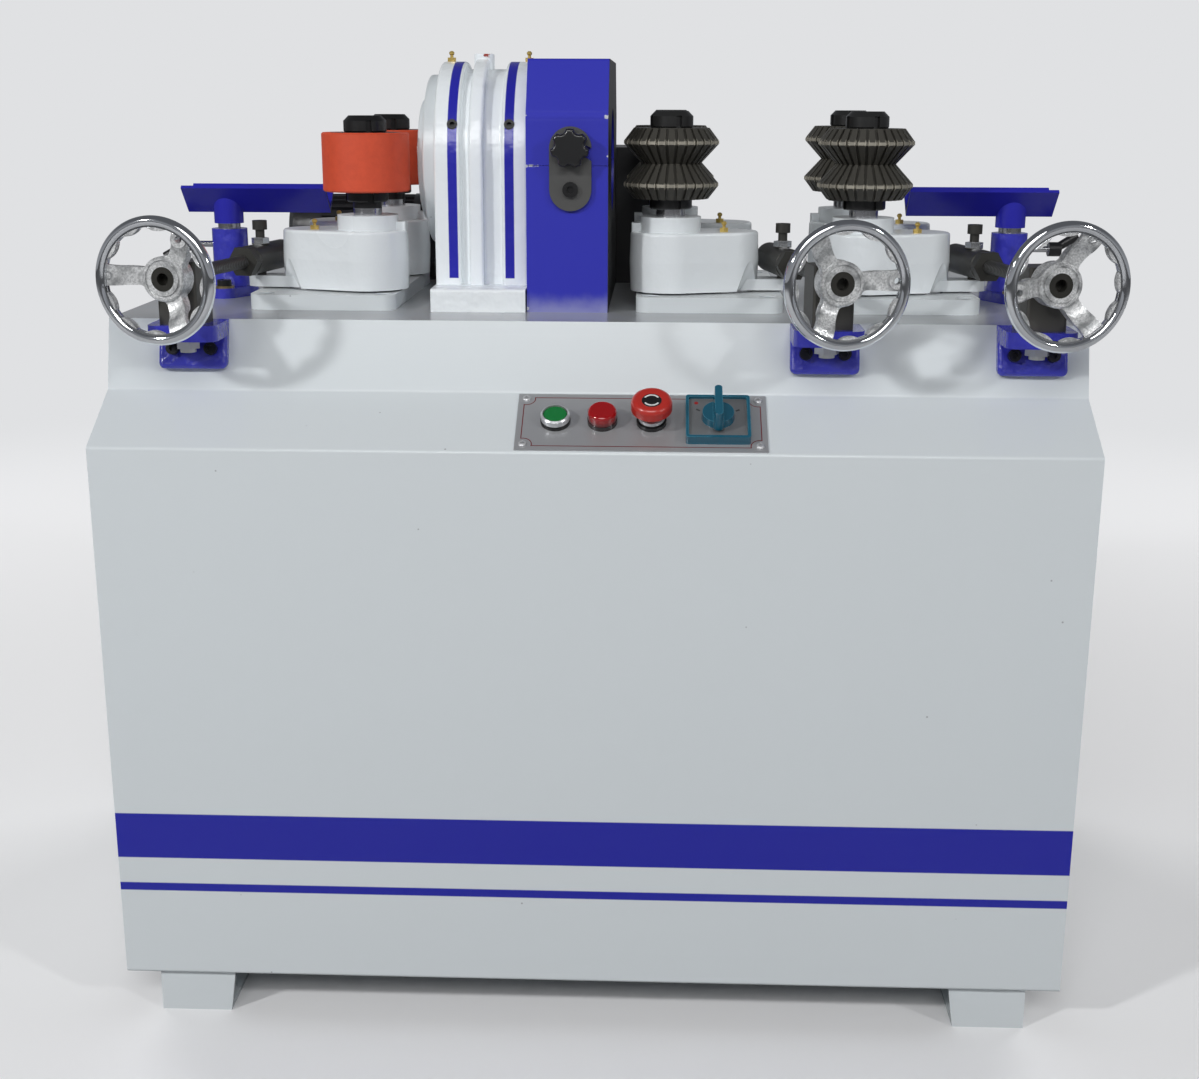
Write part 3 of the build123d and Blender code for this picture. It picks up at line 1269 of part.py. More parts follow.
thick_y = BRACKET_THICK / sin(lean)
bracket_sides = [ACROSS.offset(middle - BRACKET_WIDTH / 2) for middle in bracket_spans]
with BuildPart() as wheel_brackets:
    with BuildSketch(*bracket_sides) as bracket_view:
        Polygon(
            (lean_y(bracket_bottom), bracket_bottom),
            (lean_y(TABLE_HEIGHT), TABLE_HEIGHT),
            (-TABLE_FRONT - SHELF_REACH, TABLE_HEIGHT),
            (-TABLE_FRONT - SHELF_REACH, shelf_bottom),
            (lean_y(shelf_bottom) - thick_y, shelf_bottom),
            (lean_y(bracket_bottom) - thick_y, bracket_bottom),
            align=None,
        )
    extrude(amount=BRACKET_WIDTH)
    shelf_corners = wheel_brackets.edges().filter_by(Axis.Z).group_by(Axis.Y)[0]
    fillet(shelf_corners, radius=SHELF_CORNER)
    lower_corners = wheel_brackets.edges().filter_by(Axis.Y).group_by(Axis.Z)[0]
    fillet(lower_corners, radius=BRACKET_CORNER)
    front_bottom = wheel_brackets.edges().filter_by(Axis.X).group_by(Axis.Z)[0].group_by(Axis.Y)[0]
    fillet(front_bottom, radius=BRACKET_EDGE)
    with BuildSketch(Plane.XY.offset(TABLE_HEIGHT)) as stud_holes:
        with Locations(*stud_places):
            Circle(STUD_RADIUS + RUNNING_CLEARANCE)
    extrude(amount=-SHELF_THICK, mode=Mode.SUBTRACT)
    with BuildSketch(*bracket_screw_planes) as bracket_holes:
        Circle(BRACKET_SCREW[0] + SCREW_CLEARANCE)
    extrude(amount=2 * BRACKET_THICK, mode=Mode.SUBTRACT)
save(wheel_brackets, "wheel_brackets")


def build_tube(along):
    """Spring tube with a hex nut in front, a set bolt on top and the trunnion pin below."""
    with BuildPart() as tube:
        with BuildSketch(along.offset(TUBE_FRONT + TUBE_NUT)) as barrel:
            Circle(TUBE_RADIUS)
        extrude(amount=TUBE_BACK - TUBE_FRONT - TUBE_NUT)
        chamfer(tube.edges().filter_by(GeomType.CIRCLE), length=TUBE_EDGE)
        with BuildSketch(along.offset(TUBE_FRONT)) as nut:
            RegularPolygon(TUBE_NUT_FLATS / 2, 6, major_radius=False)
        extrude(amount=TUBE_NUT)
        with BuildSketch(along.offset(TUBE_FRONT)) as screw_bore:
            Circle(SCREW_RADIUS + RUNNING_CLEARANCE)
        extrude(amount=TUBE_BACK - TUBE_FRONT, mode=Mode.SUBTRACT)
        trunnion = along.from_local_coords((0, 0, TRUNNION_DISTANCE))
        wall_middle = (TUBE_RADIUS + SCREW_RADIUS) / 2
        bolt = Plane(origin=(trunnion.X, trunnion.Y, SCREW_Z), z_dir=(0, 0, 1))
        with BuildSketch(bolt.offset(wall_middle)) as shank:
            Circle(TRUNNION_RADIUS)
        extrude(amount=TUBE_RADIUS + TRUNNION_RISE - wall_middle)
        with BuildSketch(bolt.offset(TUBE_RADIUS - TRUNNION_NUT_SUNK)) as lock_nut:
            RegularPolygon(TRUNNION_NUT[0] / 2, 6, major_radius=False)
        extrude(amount=TRUNNION_NUT[1])
        head_bottom = TUBE_RADIUS + TRUNNION_RISE
        with BuildSketch(bolt.offset(head_bottom)) as head:
            Circle(TRUNNION_HEAD[0])
        extrude(amount=TRUNNION_HEAD[1])
        with BuildSketch(bolt.offset(head_bottom + TRUNNION_HEAD[1])) as socket:
            RegularPolygon(TRUNNION_SOCKET[0], 6)
        extrude(amount=-TRUNNION_SOCKET[1], mode=Mode.SUBTRACT)
        with BuildSketch(bolt.offset(-wall_middle)) as pin:
            Circle(TRUNNION_RADIUS)
        extrude(amount=ARM_BOTTOM + TRUNNION_END_GAP - SCREW_Z + wall_middle)
    return tube


def build_block(along):
    """Swivel block with its screw bore and the stud that turns in the bracket's shelf."""
    bottom = TABLE_HEIGHT - SCREW_Z
    upright = Plane(origin=(along.origin.X, along.origin.Y, TABLE_HEIGHT), x_dir=along.x_dir, z_dir=(0, 0, 1))
    with BuildPart() as block:
        with BuildSketch(upright) as plan:
            RectangleRounded(BLOCK_WIDTH, BLOCK_DEPTH, radius=BLOCK_CORNER)
        extrude(amount=BLOCK_ABOVE - bottom)
        with BuildSketch(along.offset(-BLOCK_DEPTH)) as screw_bore:
            Circle(SCREW_RADIUS + RUNNING_CLEARANCE)
        extrude(amount=2 * BLOCK_DEPTH, mode=Mode.SUBTRACT)
        with BuildSketch(upright) as stud:
            Circle(STUD_RADIUS)
        extrude(amount=-SHELF_THICK - STUD_WASHER - STUD_NUT[1] - STUD_END)
        with BuildSketch(upright.offset(-SHELF_THICK - STUD_WASHER)) as nut:
            RegularPolygon(STUD_NUT[0] / 2, 6, major_radius=False)
        extrude(amount=-STUD_NUT[1])
    return block


def build_screw(along):
    """Adjusting screw from the hollow head in the wheel's hub to its end in the tube."""
    with BuildPart() as screw:
        with BuildSketch(along.offset(HUB_FRONT - RIM_OUT)) as head:
            Circle(SCREW_HEAD_RADIUS)
            Circle(SCREW_HEAD_HOLE[0], mode=Mode.SUBTRACT)
        extrude(amount=HUB_BACK - HUB_FRONT)
        rod_start = HUB_FRONT - RIM_OUT + SCREW_HEAD_HOLE[1]
        with BuildSketch(along.offset(rod_start)) as rod:
            Circle(SCREW_RADIUS)
        extrude(amount=SCREW_REACH - rod_start)
    return screw


def build_handwheel(face, boss_angle):
    """Dished three-spoke wheel; face is the plane of the rim, looking out to the operator."""
    section = axial_section(face)
    wheel_axis = Axis(face.origin, face.z_dir)
    bay = 360 / SPOKE_COUNT
    front_root = (HUB_RADIUS, -HUB_FRONT - SPOKE_SUNK)
    front_tip = (RIM_RADIUS, SPOKE_RISE)
    front_middle = ((front_root[0] + front_tip[0]) / 2, (front_root[1] + front_tip[1]) / 2)
    back_root = (HUB_RADIUS, front_root[1] - SPOKE_THICK[0])
    back_tip = (RIM_RADIUS, SPOKE_RISE - SPOKE_THICK[1])
    back_middle = ((back_root[0] + back_tip[0]) / 2, (back_root[1] + back_tip[1]) / 2)
    with BuildPart() as wheel:
        with BuildSketch(face.offset(RIM_SECTION)) as spider:
            Circle(HUB_RADIUS)
            with PolarLocations(0, SPOKE_COUNT, start_angle=boss_angle):
                Polygon(
                    (0, -SPOKE_WIDTH[0] / 2),
                    (RIM_RADIUS, -SPOKE_WIDTH[1] / 2),
                    (RIM_RADIUS, SPOKE_WIDTH[1] / 2),
                    (0, SPOKE_WIDTH[0] / 2),
                    align=None,
                )
            fillet(spider.vertices().sort_by_distance((0, 0))[: 2 * SPOKE_COUNT], radius=SPOKE_FILLET)
        extrude(amount=-RIM_SECTION - HUB_BACK)
        with BuildSketch(section) as dish:
            with BuildLine():
                Line((0, front_root[1]), front_root)
                front_rise = TangentArc(front_root, front_middle, tangent=(1, 0))
                TangentArc(front_middle, front_tip, tangent=front_rise % 1)
                Line(front_tip, back_tip)
                back_rise = TangentArc(back_root, back_middle, tangent=(1, 0))
                TangentArc(back_middle, back_tip, tangent=back_rise % 1)
                Polyline(back_root, (0, back_root[1]), (0, front_root[1]))
            make_face()
        revolve(axis=wheel_axis, mode=Mode.INTERSECT)
        with BuildSketch(section) as rim:
            with Locations((RIM_RADIUS, 0)):
                Circle(RIM_SECTION)
        revolve(axis=wheel_axis)
        with BuildSketch(face) as web:
            Circle(RIM_RADIUS)
            Circle(WEB_RADIUS, mode=Mode.SUBTRACT)
            for number in range(SPOKE_COUNT):
                first_bump = boss_angle + bay * (number + 0.5) - BUMP_SPACING * (BUMP_COUNT - 1) / 2
                for bump in range(BUMP_COUNT):
                    turn = radians(first_bump + BUMP_SPACING * bump)
                    bump_middle = BUMP_REACH + BUMP_RADIUS
                    with Locations((bump_middle * cos(turn), bump_middle * sin(turn))):
                        Circle(BUMP_RADIUS)
            Circle(RIM_RADIUS, mode=Mode.INTERSECT)
        extrude(amount=WEB_THICK / 2, both=True)
        hub_bore = SCREW_HEAD_RADIUS + HUB_BORE_CLEARANCE
        with BuildSketch(section) as hub:
            Polygon(
                (0, -HUB_BACK),
                (HUB_RADIUS - HUB_EDGE, -HUB_BACK),
                (HUB_RADIUS, HUB_EDGE - HUB_BACK),
                (HUB_RADIUS, -HUB_FRONT - HUB_EDGE),
                (HUB_RADIUS - HUB_EDGE, -HUB_FRONT),
                (HUB_GROOVE[1], -HUB_FRONT),
                (HUB_GROOVE[1], -HUB_FRONT - HUB_GROOVE[2]),
                (HUB_GROOVE[0], -HUB_FRONT - HUB_GROOVE[2]),
                (HUB_GROOVE[0], -HUB_FRONT),
                (0, -HUB_FRONT),
                align=None,
            )
        revolve(axis=wheel_axis)
        with BuildSketch(face) as screw_bore:
            Circle(hub_bore)
        extrude(amount=-HUB_BACK, mode=Mode.SUBTRACT)
        handle_place = (
            (RIM_RADIUS - HANDLE_BOSS[0]) * cos(radians(boss_angle)),
            (RIM_RADIUS - HANDLE_BOSS[0]) * sin(radians(boss_angle)),
        )
        with BuildSketch(face.offset(-WEB_THICK / 2)) as boss:
            with Locations(handle_place):
                Circle(HANDLE_BOSS[0])
        extrude(amount=WEB_THICK / 2 + HANDLE_BOSS[2])
        with BuildSketch(face.offset(-WEB_THICK)) as boss_hole:
            with Locations(handle_place):
                Circle(HANDLE_BOSS[1])
        extrude(amount=2 * WEB_THICK, mode=Mode.SUBTRACT)
    return wheel


lever_run = BRACKET_X - PIVOT_X - EAR_LEVER
lever_depth = SWIVEL_Y - PIVOT_OFFSET
TRUNNION_DISTANCE = hypot(lever_run, lever_depth)
for station, station_x, side, boss_angle in STATIONS:
    block_centre = (station_x + side * BRACKET_X, -SWIVEL_Y, SCREW_Z)
    inward = Vector(-side * lever_run / TRUNNION_DISTANCE, lever_depth / TRUNNION_DISTANCE, 0)
    sideways = Vector(inward.Y, -inward.X, 0)
    along = Plane(origin=block_centre, x_dir=sideways, z_dir=inward)
    save(build_tube(along), f"{station}_spring_tube")
    save(build_block(along), f"{station}_swivel_block")
    save(build_screw(along), f"{station}_screw")
    rim_centre = along.from_local_coords((0, 0, -RIM_OUT))
    face = Plane(origin=rim_centre, x_dir=sideways, z_dir=-inward)
    save(build_handwheel(face, boss_angle), f"{station}_handwheel")

# Troughs: an angle-iron V on a post, a column with an oval flange, and a clamp lever

trough_stations = (("left", STATIONS[0][1], -1), ("right", STATIONS[2][1], 1))
trough_bottom = TABLE_HEIGHT + TROUGH_BOTTOM
trough_top = trough_bottom + TROUGH_RISE
wall_up = TROUGH_WALL * sqrt(2)
socket_bottom = trough_bottom - SOCKET_HEIGHT
column_places = []
for place, roller_x, side in trough_stations:
    column_x = roller_x + side * TROUGH_X
    column_places.append((column_x, 0))
    with BuildPart() as trough:
        post_bottom = socket_bottom - TROUGH_POST_DEPTH
        with BuildSketch(Plane.XY.offset(post_bottom)) as post:
            with Locations((column_x, 0)):
                Circle(TROUGH_POST_RADIUS)
        extrude(amount=TROUGH_POST_DEPTH)
        with BuildSketch(Plane.XY.offset(socket_bottom)) as socket:
            with Locations((column_x, 0)):
                Circle(SOCKET_RADIUS)
        extrude(amount=SOCKET_HEIGHT + SOCKET_RADIUS)
        with BuildSketch(ACROSS.offset(roller_x + side * TROUGH_INNER)) as angle_iron:
            Polygon(
                (0, trough_bottom),
                (TROUGH_RISE, trough_top),
                (TROUGH_RISE - wall_up / 2, trough_top + wall_up / 2),
                (0, trough_bottom + wall_up),
                (wall_up / 2 - TROUGH_RISE, trough_top + wall_up / 2),
                (-TROUGH_RISE, trough_top),
                align=None,
            )
        extrude(amount=side * (TROUGH_OUTER - TROUGH_INNER))
        with BuildSketch(ACROSS.offset(column_x - SOCKET_RADIUS)) as stick_room:
            Polygon(
                (0, trough_bottom + wall_up),
                (TROUGH_RISE, trough_top + wall_up),
                (-TROUGH_RISE, trough_top + wall_up),
                align=None,
            )
        extrude(amount=2 * SOCKET_RADIUS, mode=Mode.SUBTRACT)
    save(trough, f"trough_{place}")

clamp_z = TABLE_HEIGHT + CLAMP_RISE
with BuildPart() as trough_columns:
    flange_top = TABLE_HEIGHT + COLUMN_FLANGE[2]
    for column_x, column_y in column_places:
        with BuildSketch(Plane.XY.offset(TABLE_HEIGHT)) as flange:
            with Locations((column_x, 0)):
                Circle(COLUMN_FLANGE[0])
            with Locations((column_x, COLUMN_BOLT_OFFSET), (column_x, -COLUMN_BOLT_OFFSET)):
                Circle(COLUMN_FLANGE[1])
            make_hull()
        extrude(amount=COLUMN_FLANGE[2])
        section = radial_planes((column_x, 0, TABLE_HEIGHT), 1)[0]
        with BuildSketch(section) as column:
            Polygon(
                (0, COLUMN_FLANGE[2]),
                (COLUMN_FOOT_RADIUS, COLUMN_FLANGE[2]),
                (COLUMN_RADIUS, COLUMN_FLANGE[2] + COLUMN_TAPER),
                (COLUMN_RADIUS, COLUMN_TOP),
                (0, COLUMN_TOP),
                align=None,
            )
        revolve(axis=Axis((column_x, 0, 0), (0, 0, 1)))
        with BuildSketch(Plane.XY.offset(TABLE_HEIGHT + COLUMN_TOP)) as post_bore:
            with Locations((column_x, 0)):
                Circle(TROUGH_POST_RADIUS + RUNNING_CLEARANCE)
        extrude(amount=-COLUMN_TOP + COLUMN_FLANGE[2], mode=Mode.SUBTRACT)
        outboard = 1 if column_x > 0 else -1
        with BuildSketch(ACROSS.offset(column_x)) as clamp_hole:
            with Locations((0, clamp_z)):
                Circle(CLAMP_SHANK + RUNNING_CLEARANCE)
        extrude(amount=outboard * COLUMN_FOOT_RADIUS, mode=Mode.SUBTRACT)
        with BuildSketch(Plane.XY.offset(TABLE_HEIGHT)) as flange_holes:
            with Locations((column_x, COLUMN_BOLT_OFFSET), (column_x, -COLUMN_BOLT_OFFSET)):
                Circle(screw_shank + SCREW_CLEARANCE)
        extrude(amount=COLUMN_FLANGE[2], mode=Mode.SUBTRACT)
save(trough_columns, "trough_columns")

for (place, roller_x, side), (column_x, column_y) in zip(trough_stations, column_places):
    shank_start = TROUGH_POST_RADIUS + CLAMP_GAP
    hub_radius, hub_start, hub_end = CLAMP_HUB
    (root_out, root_rise), (tip_out, tip_rise) = CLAMP_HANDLE
    handle_root = Vector(column_x + side * root_out, 0, clamp_z + side * root_rise)
    handle_tip = Vector(column_x + side * tip_out, 0, clamp_z + side * tip_rise)
    handle_along = handle_tip - handle_root
    with BuildPart() as clamp_lever:
        with BuildSketch(ACROSS.offset(column_x + side * shank_start)) as shank:
            with Locations((0, clamp_z)):
                Circle(CLAMP_SHANK)
        extrude(amount=side * (hub_start - shank_start))
        with BuildSketch(ACROSS.offset(column_x + side * hub_start)) as hub:
            with Locations((0, clamp_z)):
                Circle(hub_radius)
        extrude(amount=side * (hub_end - hub_start))
        with BuildSketch(Plane(origin=handle_root, z_dir=handle_along)) as root_section:
            Circle(CLAMP_HANDLE_RADII[0])
        with BuildSketch(Plane(origin=handle_tip, z_dir=handle_along)) as tip_section:
            Circle(CLAMP_HANDLE_RADII[1])
        loft()
    save(clamp_lever, f"clamp_lever_{place}")

# Feed gearmotor on the table behind the outfeed station

with BuildPart() as feed_gearmotor:
    feed_z = TABLE_HEIGHT + FEED_RISE
    motor_end = STATIONS[0][1] - FEED_OUTBOARD - FEED_LENGTH / 2
    case_start = motor_end + FEED_LENGTH
    case_end = case_start + FEED_BOX[0]
    with BuildSketch(ACROSS.offset(motor_end)) as feed_cowl:
        with Locations((FEED_Y, feed_z)):
            Circle(FEED_RADIUS)
    extrude(amount=FEED_COWL)
    chamfer(feed_gearmotor.edges().group_by(Axis.X)[0], length=FEED_EDGE)
    with BuildSketch(ACROSS.offset(motor_end)) as cowl_vents:
        with Locations((FEED_Y, feed_z)):
            with PolarLocations(FEED_VENT_RING, FEED_VENT_COUNT):
                SlotOverall(FEED_VENT[0], FEED_VENT[1])
    extrude(amount=FEED_VENT[2], mode=Mode.SUBTRACT)
    fin_reach = FEED_RADIUS - FEED_FIN_DROP
    with BuildSketch(ACROSS.offset(motor_end + FEED_COWL)) as feed_core:
        with Locations((FEED_Y, feed_z)):
            Circle(FEED_CORE)
            with PolarLocations(fin_reach / 2, FEED_FIN_COUNT):
                Rectangle(fin_reach, FEED_FIN_THICK)
    extrude(amount=FEED_LENGTH - FEED_COWL)
    with BuildSketch(ACROSS.offset(case_start)) as feed_shield:
        with Locations((FEED_Y, feed_z)):
            Circle(FEED_RADIUS)
    extrude(amount=-FEED_SHIELD)
    with BuildSketch(ACROSS.offset(case_start)) as gear_case:
        with Locations((FEED_Y, TABLE_HEIGHT)):
            Rectangle(FEED_BOX[1], FEED_BOX[2], align=(Align.CENTER, Align.MIN))
        fillet(gear_case.vertices().group_by(Axis.Y)[-1], radius=FEED_BOX_CORNER)
    extrude(amount=FEED_BOX[0])
    with BuildSketch(ACROSS.offset(case_end)) as bearing_cap:
        with Locations((FEED_Y, feed_z)):
            Circle(FEED_CAP[0])
    extrude(amount=FEED_CAP[1])
    with BuildSketch(ACROSS.offset(case_end)) as case_bolts:
        with Locations((FEED_Y, TABLE_HEIGHT + FEED_BOX[2] / 2)):
            with GridLocations(FEED_BOX[1] - 2 * FEED_BOLT_INSET, FEED_BOX[2] - 2 * FEED_BOLT_INSET, 2, 2):
                RegularPolygon(FEED_BOLT[0], 6)
    extrude(amount=FEED_BOLT[1])
    terminal_face = FEED_Y + FEED_RADIUS + FEED_TERMINAL[2]
    terminal_middle = (motor_end + FEED_COWL + case_start - FEED_SHIELD) / 2
    with BuildSketch(Plane.XZ.offset(-FEED_Y)) as terminal_box:
        with Locations((terminal_middle, feed_z)):
            RectangleRounded(FEED_TERMINAL[0], FEED_TERMINAL[1], radius=FEED_TERMINAL_CORNER)
    extrude(amount=FEED_Y - terminal_face)
    with BuildSketch(Plane.XZ.offset(-terminal_face)) as terminal_lid:
        with Locations((terminal_middle, feed_z)):
            lid_size = [size + 2 * FEED_TERMINAL_LID[0] for size in FEED_TERMINAL[:2]]
            RectangleRounded(*lid_size, radius=FEED_TERMINAL_CORNER)
    extrude(amount=-FEED_TERMINAL_LID[1])
    with BuildSketch(ACROSS.offset(motor_end + (FEED_LENGTH - FEED_FOOT[2]) / 2)) as motor_feet:
        with Locations((FEED_Y, TABLE_HEIGHT)):
            Rectangle(FEED_FOOT[0], FEED_FOOT[1], align=(Align.CENTER, Align.MIN))
            Rectangle(FEED_SADDLE, FEED_RISE, align=(Align.CENTER, Align.MIN))
    extrude(amount=FEED_FOOT[2])
save(feed_gearmotor, "feed_gearmotor")

# Socket screws: base plates, column flanges, brackets, guard latch and housing

column_bolts = []
for column_x, column_y in column_places:
    column_bolts += [(column_x, COLUMN_BOLT_OFFSET), (column_x, -COLUMN_BOLT_OFFSET)]

with BuildPart() as cap_screws:
    for places, seat in (
        (base_corners, base_seat),
        (column_bolts, TABLE_HEIGHT + COLUMN_FLANGE[2]),
    ):
        with BuildSketch(Plane.XY.offset(TABLE_HEIGHT)) as shanks:
            with Locations(*places):
                Circle(screw_shank)
        extrude(amount=seat - TABLE_HEIGHT)
        with BuildSketch(Plane.XY.offset(seat)) as heads:
            with Locations(*places):
                Circle(screw_head)
        extrude(amount=screw_head_height)
        with BuildSketch(Plane.XY.offset(seat + screw_head_height)) as sockets:
            with Locations(*places):
                RegularPolygon(CAP_SOCKET[0], 6)
        extrude(amount=-CAP_SOCKET[1], mode=Mode.SUBTRACT)
    with BuildSketch(Plane.XY.offset(TABLE_HEIGHT + COLUMN_FLANGE[2])) as washers:
        with Locations(*column_bolts):
            Circle(SCREW_WASHER[0])
    extrude(amount=SCREW_WASHER[1])
    with BuildSketch(*bracket_screw_planes) as bracket_shanks:
        Circle(BRACKET_SCREW[0])
    extrude(amount=BRACKET_THICK)
    head_planes = [plane.offset(BRACKET_THICK) for plane in bracket_screw_planes]
    with BuildSketch(*head_planes) as bracket_heads:
        Circle(BRACKET_SCREW[1])
    extrude(amount=BRACKET_SCREW[2])
    with BuildSketch(*[plane.offset(BRACKET_SCREW[2]) for plane in head_planes]) as bracket_sockets:
        RegularPolygon(BRACKET_SOCKET[0], 6)
    extrude(amount=-BRACKET_SOCKET[1], mode=Mode.SUBTRACT)
    with BuildSketch(front_of_guard) as latch_shank:
        with Locations(latch_pivot):
            Circle(LATCH_SCREW_RADIUS)
    extrude(amount=LATCH_THICK + 2 * LATCH_STAND_OFF)
    latch_head_seat = latch_face.offset(LATCH_THICK + LATCH_STAND_OFF)
    with BuildSketch(latch_head_seat) as latch_head:
        with Locations(latch_pivot):
            Circle(screw_head)
    extrude(amount=LATCH_SCREW_HEAD)
    with BuildSketch(latch_head_seat.offset(LATCH_SCREW_HEAD)) as latch_socket:
        with Locations(latch_pivot):
            RegularPolygon(LATCH_SCREW_SOCKET[0], 6)
    extrude(amount=-LATCH_SCREW_SOCKET[1], mode=Mode.SUBTRACT)
    with BuildSketch(*[plane.offset(-SET_SCREW_LENGTH) for plane in set_screw_seats]) as set_screws:
        Circle(SET_SCREW_RADIUS)
    extrude(amount=SET_SCREW_LENGTH + SET_SCREW_PROUD)
    with BuildSketch(*[plane.offset(SET_SCREW_PROUD) for plane in set_screw_seats]) as set_sockets:
        RegularPolygon(SET_SCREW_SOCKET[0], 6)
    extrude(amount=-SET_SCREW_SOCKET[1], mode=Mode.SUBTRACT)
save(cap_screws, "cap_screws")
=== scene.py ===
import json
from math import atan2, cos, pi, radians, sin

import bmesh
import bpy
from mathutils import Matrix, Vector


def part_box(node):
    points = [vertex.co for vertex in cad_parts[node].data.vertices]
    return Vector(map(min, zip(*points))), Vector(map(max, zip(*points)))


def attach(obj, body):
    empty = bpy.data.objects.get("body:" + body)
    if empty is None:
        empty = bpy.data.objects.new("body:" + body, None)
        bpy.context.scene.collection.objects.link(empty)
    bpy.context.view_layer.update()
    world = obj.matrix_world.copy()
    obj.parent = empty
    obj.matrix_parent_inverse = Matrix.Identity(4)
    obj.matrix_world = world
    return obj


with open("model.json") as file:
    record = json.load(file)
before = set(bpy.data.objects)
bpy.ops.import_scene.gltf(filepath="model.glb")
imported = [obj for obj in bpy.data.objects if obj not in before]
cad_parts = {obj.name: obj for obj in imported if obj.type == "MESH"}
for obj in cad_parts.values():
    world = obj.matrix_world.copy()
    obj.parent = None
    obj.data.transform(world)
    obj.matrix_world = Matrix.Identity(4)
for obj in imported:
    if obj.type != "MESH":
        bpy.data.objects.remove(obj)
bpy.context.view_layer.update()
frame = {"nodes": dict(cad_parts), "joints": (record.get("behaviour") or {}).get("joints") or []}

# Round stick making machine: finishes, small pieces and a stage for its solid model.
# Metres, in the model's own frame: X along the stick towards the infeed, Y away from the
# operator, Z up.

scene = bpy.context.scene
joints = {joint["name"]: joint for joint in frame["joints"]}
stations = ("outfeed", "infeed_inner", "infeed_outer")
toothed_stations = stations[1:]
depths = ("front", "rear")


def shade(red, green, blue):
    """A colour as it is seen, 0 to 255, turned into the linear values that shaders read."""
    linear = []
    for value in (red, green, blue):
        share = value / 255
        linear.append(share / 12.92 if share < 0.04045 else ((share + 0.055) / 1.055) ** 2.4)
    return (*linear, 1.0)


# Paint
WHITE = shade(212, 218, 221)
CAST_WHITE = shade(226, 231, 234)
# The housing's white is the castings' white made lighter, painted light for the lesser light it
# gets.
HOUSING_LIT_WHITE = shade(235, 240, 243)
WHITE_SHADOW = shade(176, 182, 186)
# The table top's grey is partly painted shade on the cabinet's white paint.
TABLE_TOP_SHADE = shade(166, 170, 174)
BLUE = shade(38, 38, 164)
STRIPE_BLUE = shade(30, 34, 157)
GUARD_BLUE = shade(44, 47, 174)
BLUE_CAST = shade(54, 56, 176)
BLUE_CHIP = shade(112, 116, 196)
BLACK_PAINT = shade(34, 34, 36)
PRIMER = shade(196, 199, 206)
NIB = shade(165, 169, 173)
DUST = shade(176, 164, 142)
SMUDGE = shade(150, 52, 40)
# Rollers
ORANGE = shade(212, 78, 44)
ORANGE_DARK = shade(180, 60, 34)
TOOTH_DARK = shade(76, 74, 69)
TOOTH_DULL = shade(68, 66, 60)
TOOTH_EDGE = shade(104, 101, 93)
TOOTH_BRIGHT = shade(206, 200, 184)
NUT_BLACK = shade(44, 44, 44)
# Metal
OXIDE = shade(34, 34, 35)
OXIDE_DULL = shade(26, 26, 27)
OXIDE_BRIGHT = shade(104, 104, 104)
TUBE_GREY = shade(58, 57, 53)
TUBE_DULL = shade(44, 44, 41)
BLOCK_STEEL = shade(92, 90, 86)
LATCH = shade(98, 98, 97)
LATCH_DULL = shade(78, 78, 77)
STEEL = shade(186, 186, 188)
STEEL_DARK = shade(128, 129, 131)
ZINC = shade(208, 210, 212)
YELLOW_ZINC = shade(172, 152, 104)
CHROME = shade(226, 228, 231)
CAST_ALUMINIUM = shade(232, 233, 233)
CAST_SHADOW = shade(146, 148, 149)
BRASS = shade(214, 188, 108)
BRASS_DULL = shade(176, 148, 80)
# Controls and belts
PLATE = shade(184, 185, 187)
PLATE_DULL = shade(164, 165, 168)
BORDER_RED = shade(128, 34, 38)
BLACK_PLASTIC = shade(22, 22, 23)
SMOKY = shade(46, 42, 42)
GREEN = shade(16, 116, 52)
GREEN_DARK = shade(10, 84, 40)
RED_LENS = shade(152, 6, 11)
RED_LENS_DARK = shade(88, 10, 14)
STOP_RED = shade(180, 42, 33)
PALE_MARK = shade(226, 226, 224)
TEAL = shade(24, 88, 110)
TEAL_EDGE_HIGHLIGHT = shade(70, 138, 160)
DIAL_GREY = shade(124, 128, 131)
DIAL_MARK = shade(48, 48, 52)
DIAL_RED = shade(160, 30, 34)
BELT = shade(26, 26, 27)
# Stage
FLOOR = shade(238, 238, 239)
FLOOR_AROUND = shade(150, 151, 153)
FLOOR_MIRRORED = shade(176, 177, 179)
BACKDROP = shade(224, 225, 227)
MIRRORED_LOW = shade(150, 152, 156)
MIRRORED_HIGH = shade(92, 94, 98)


# Node wiring

SPOT_GRAIN = 500.0
SPOT_EDGE = 1.2
SPOT_SOFT = 0.1


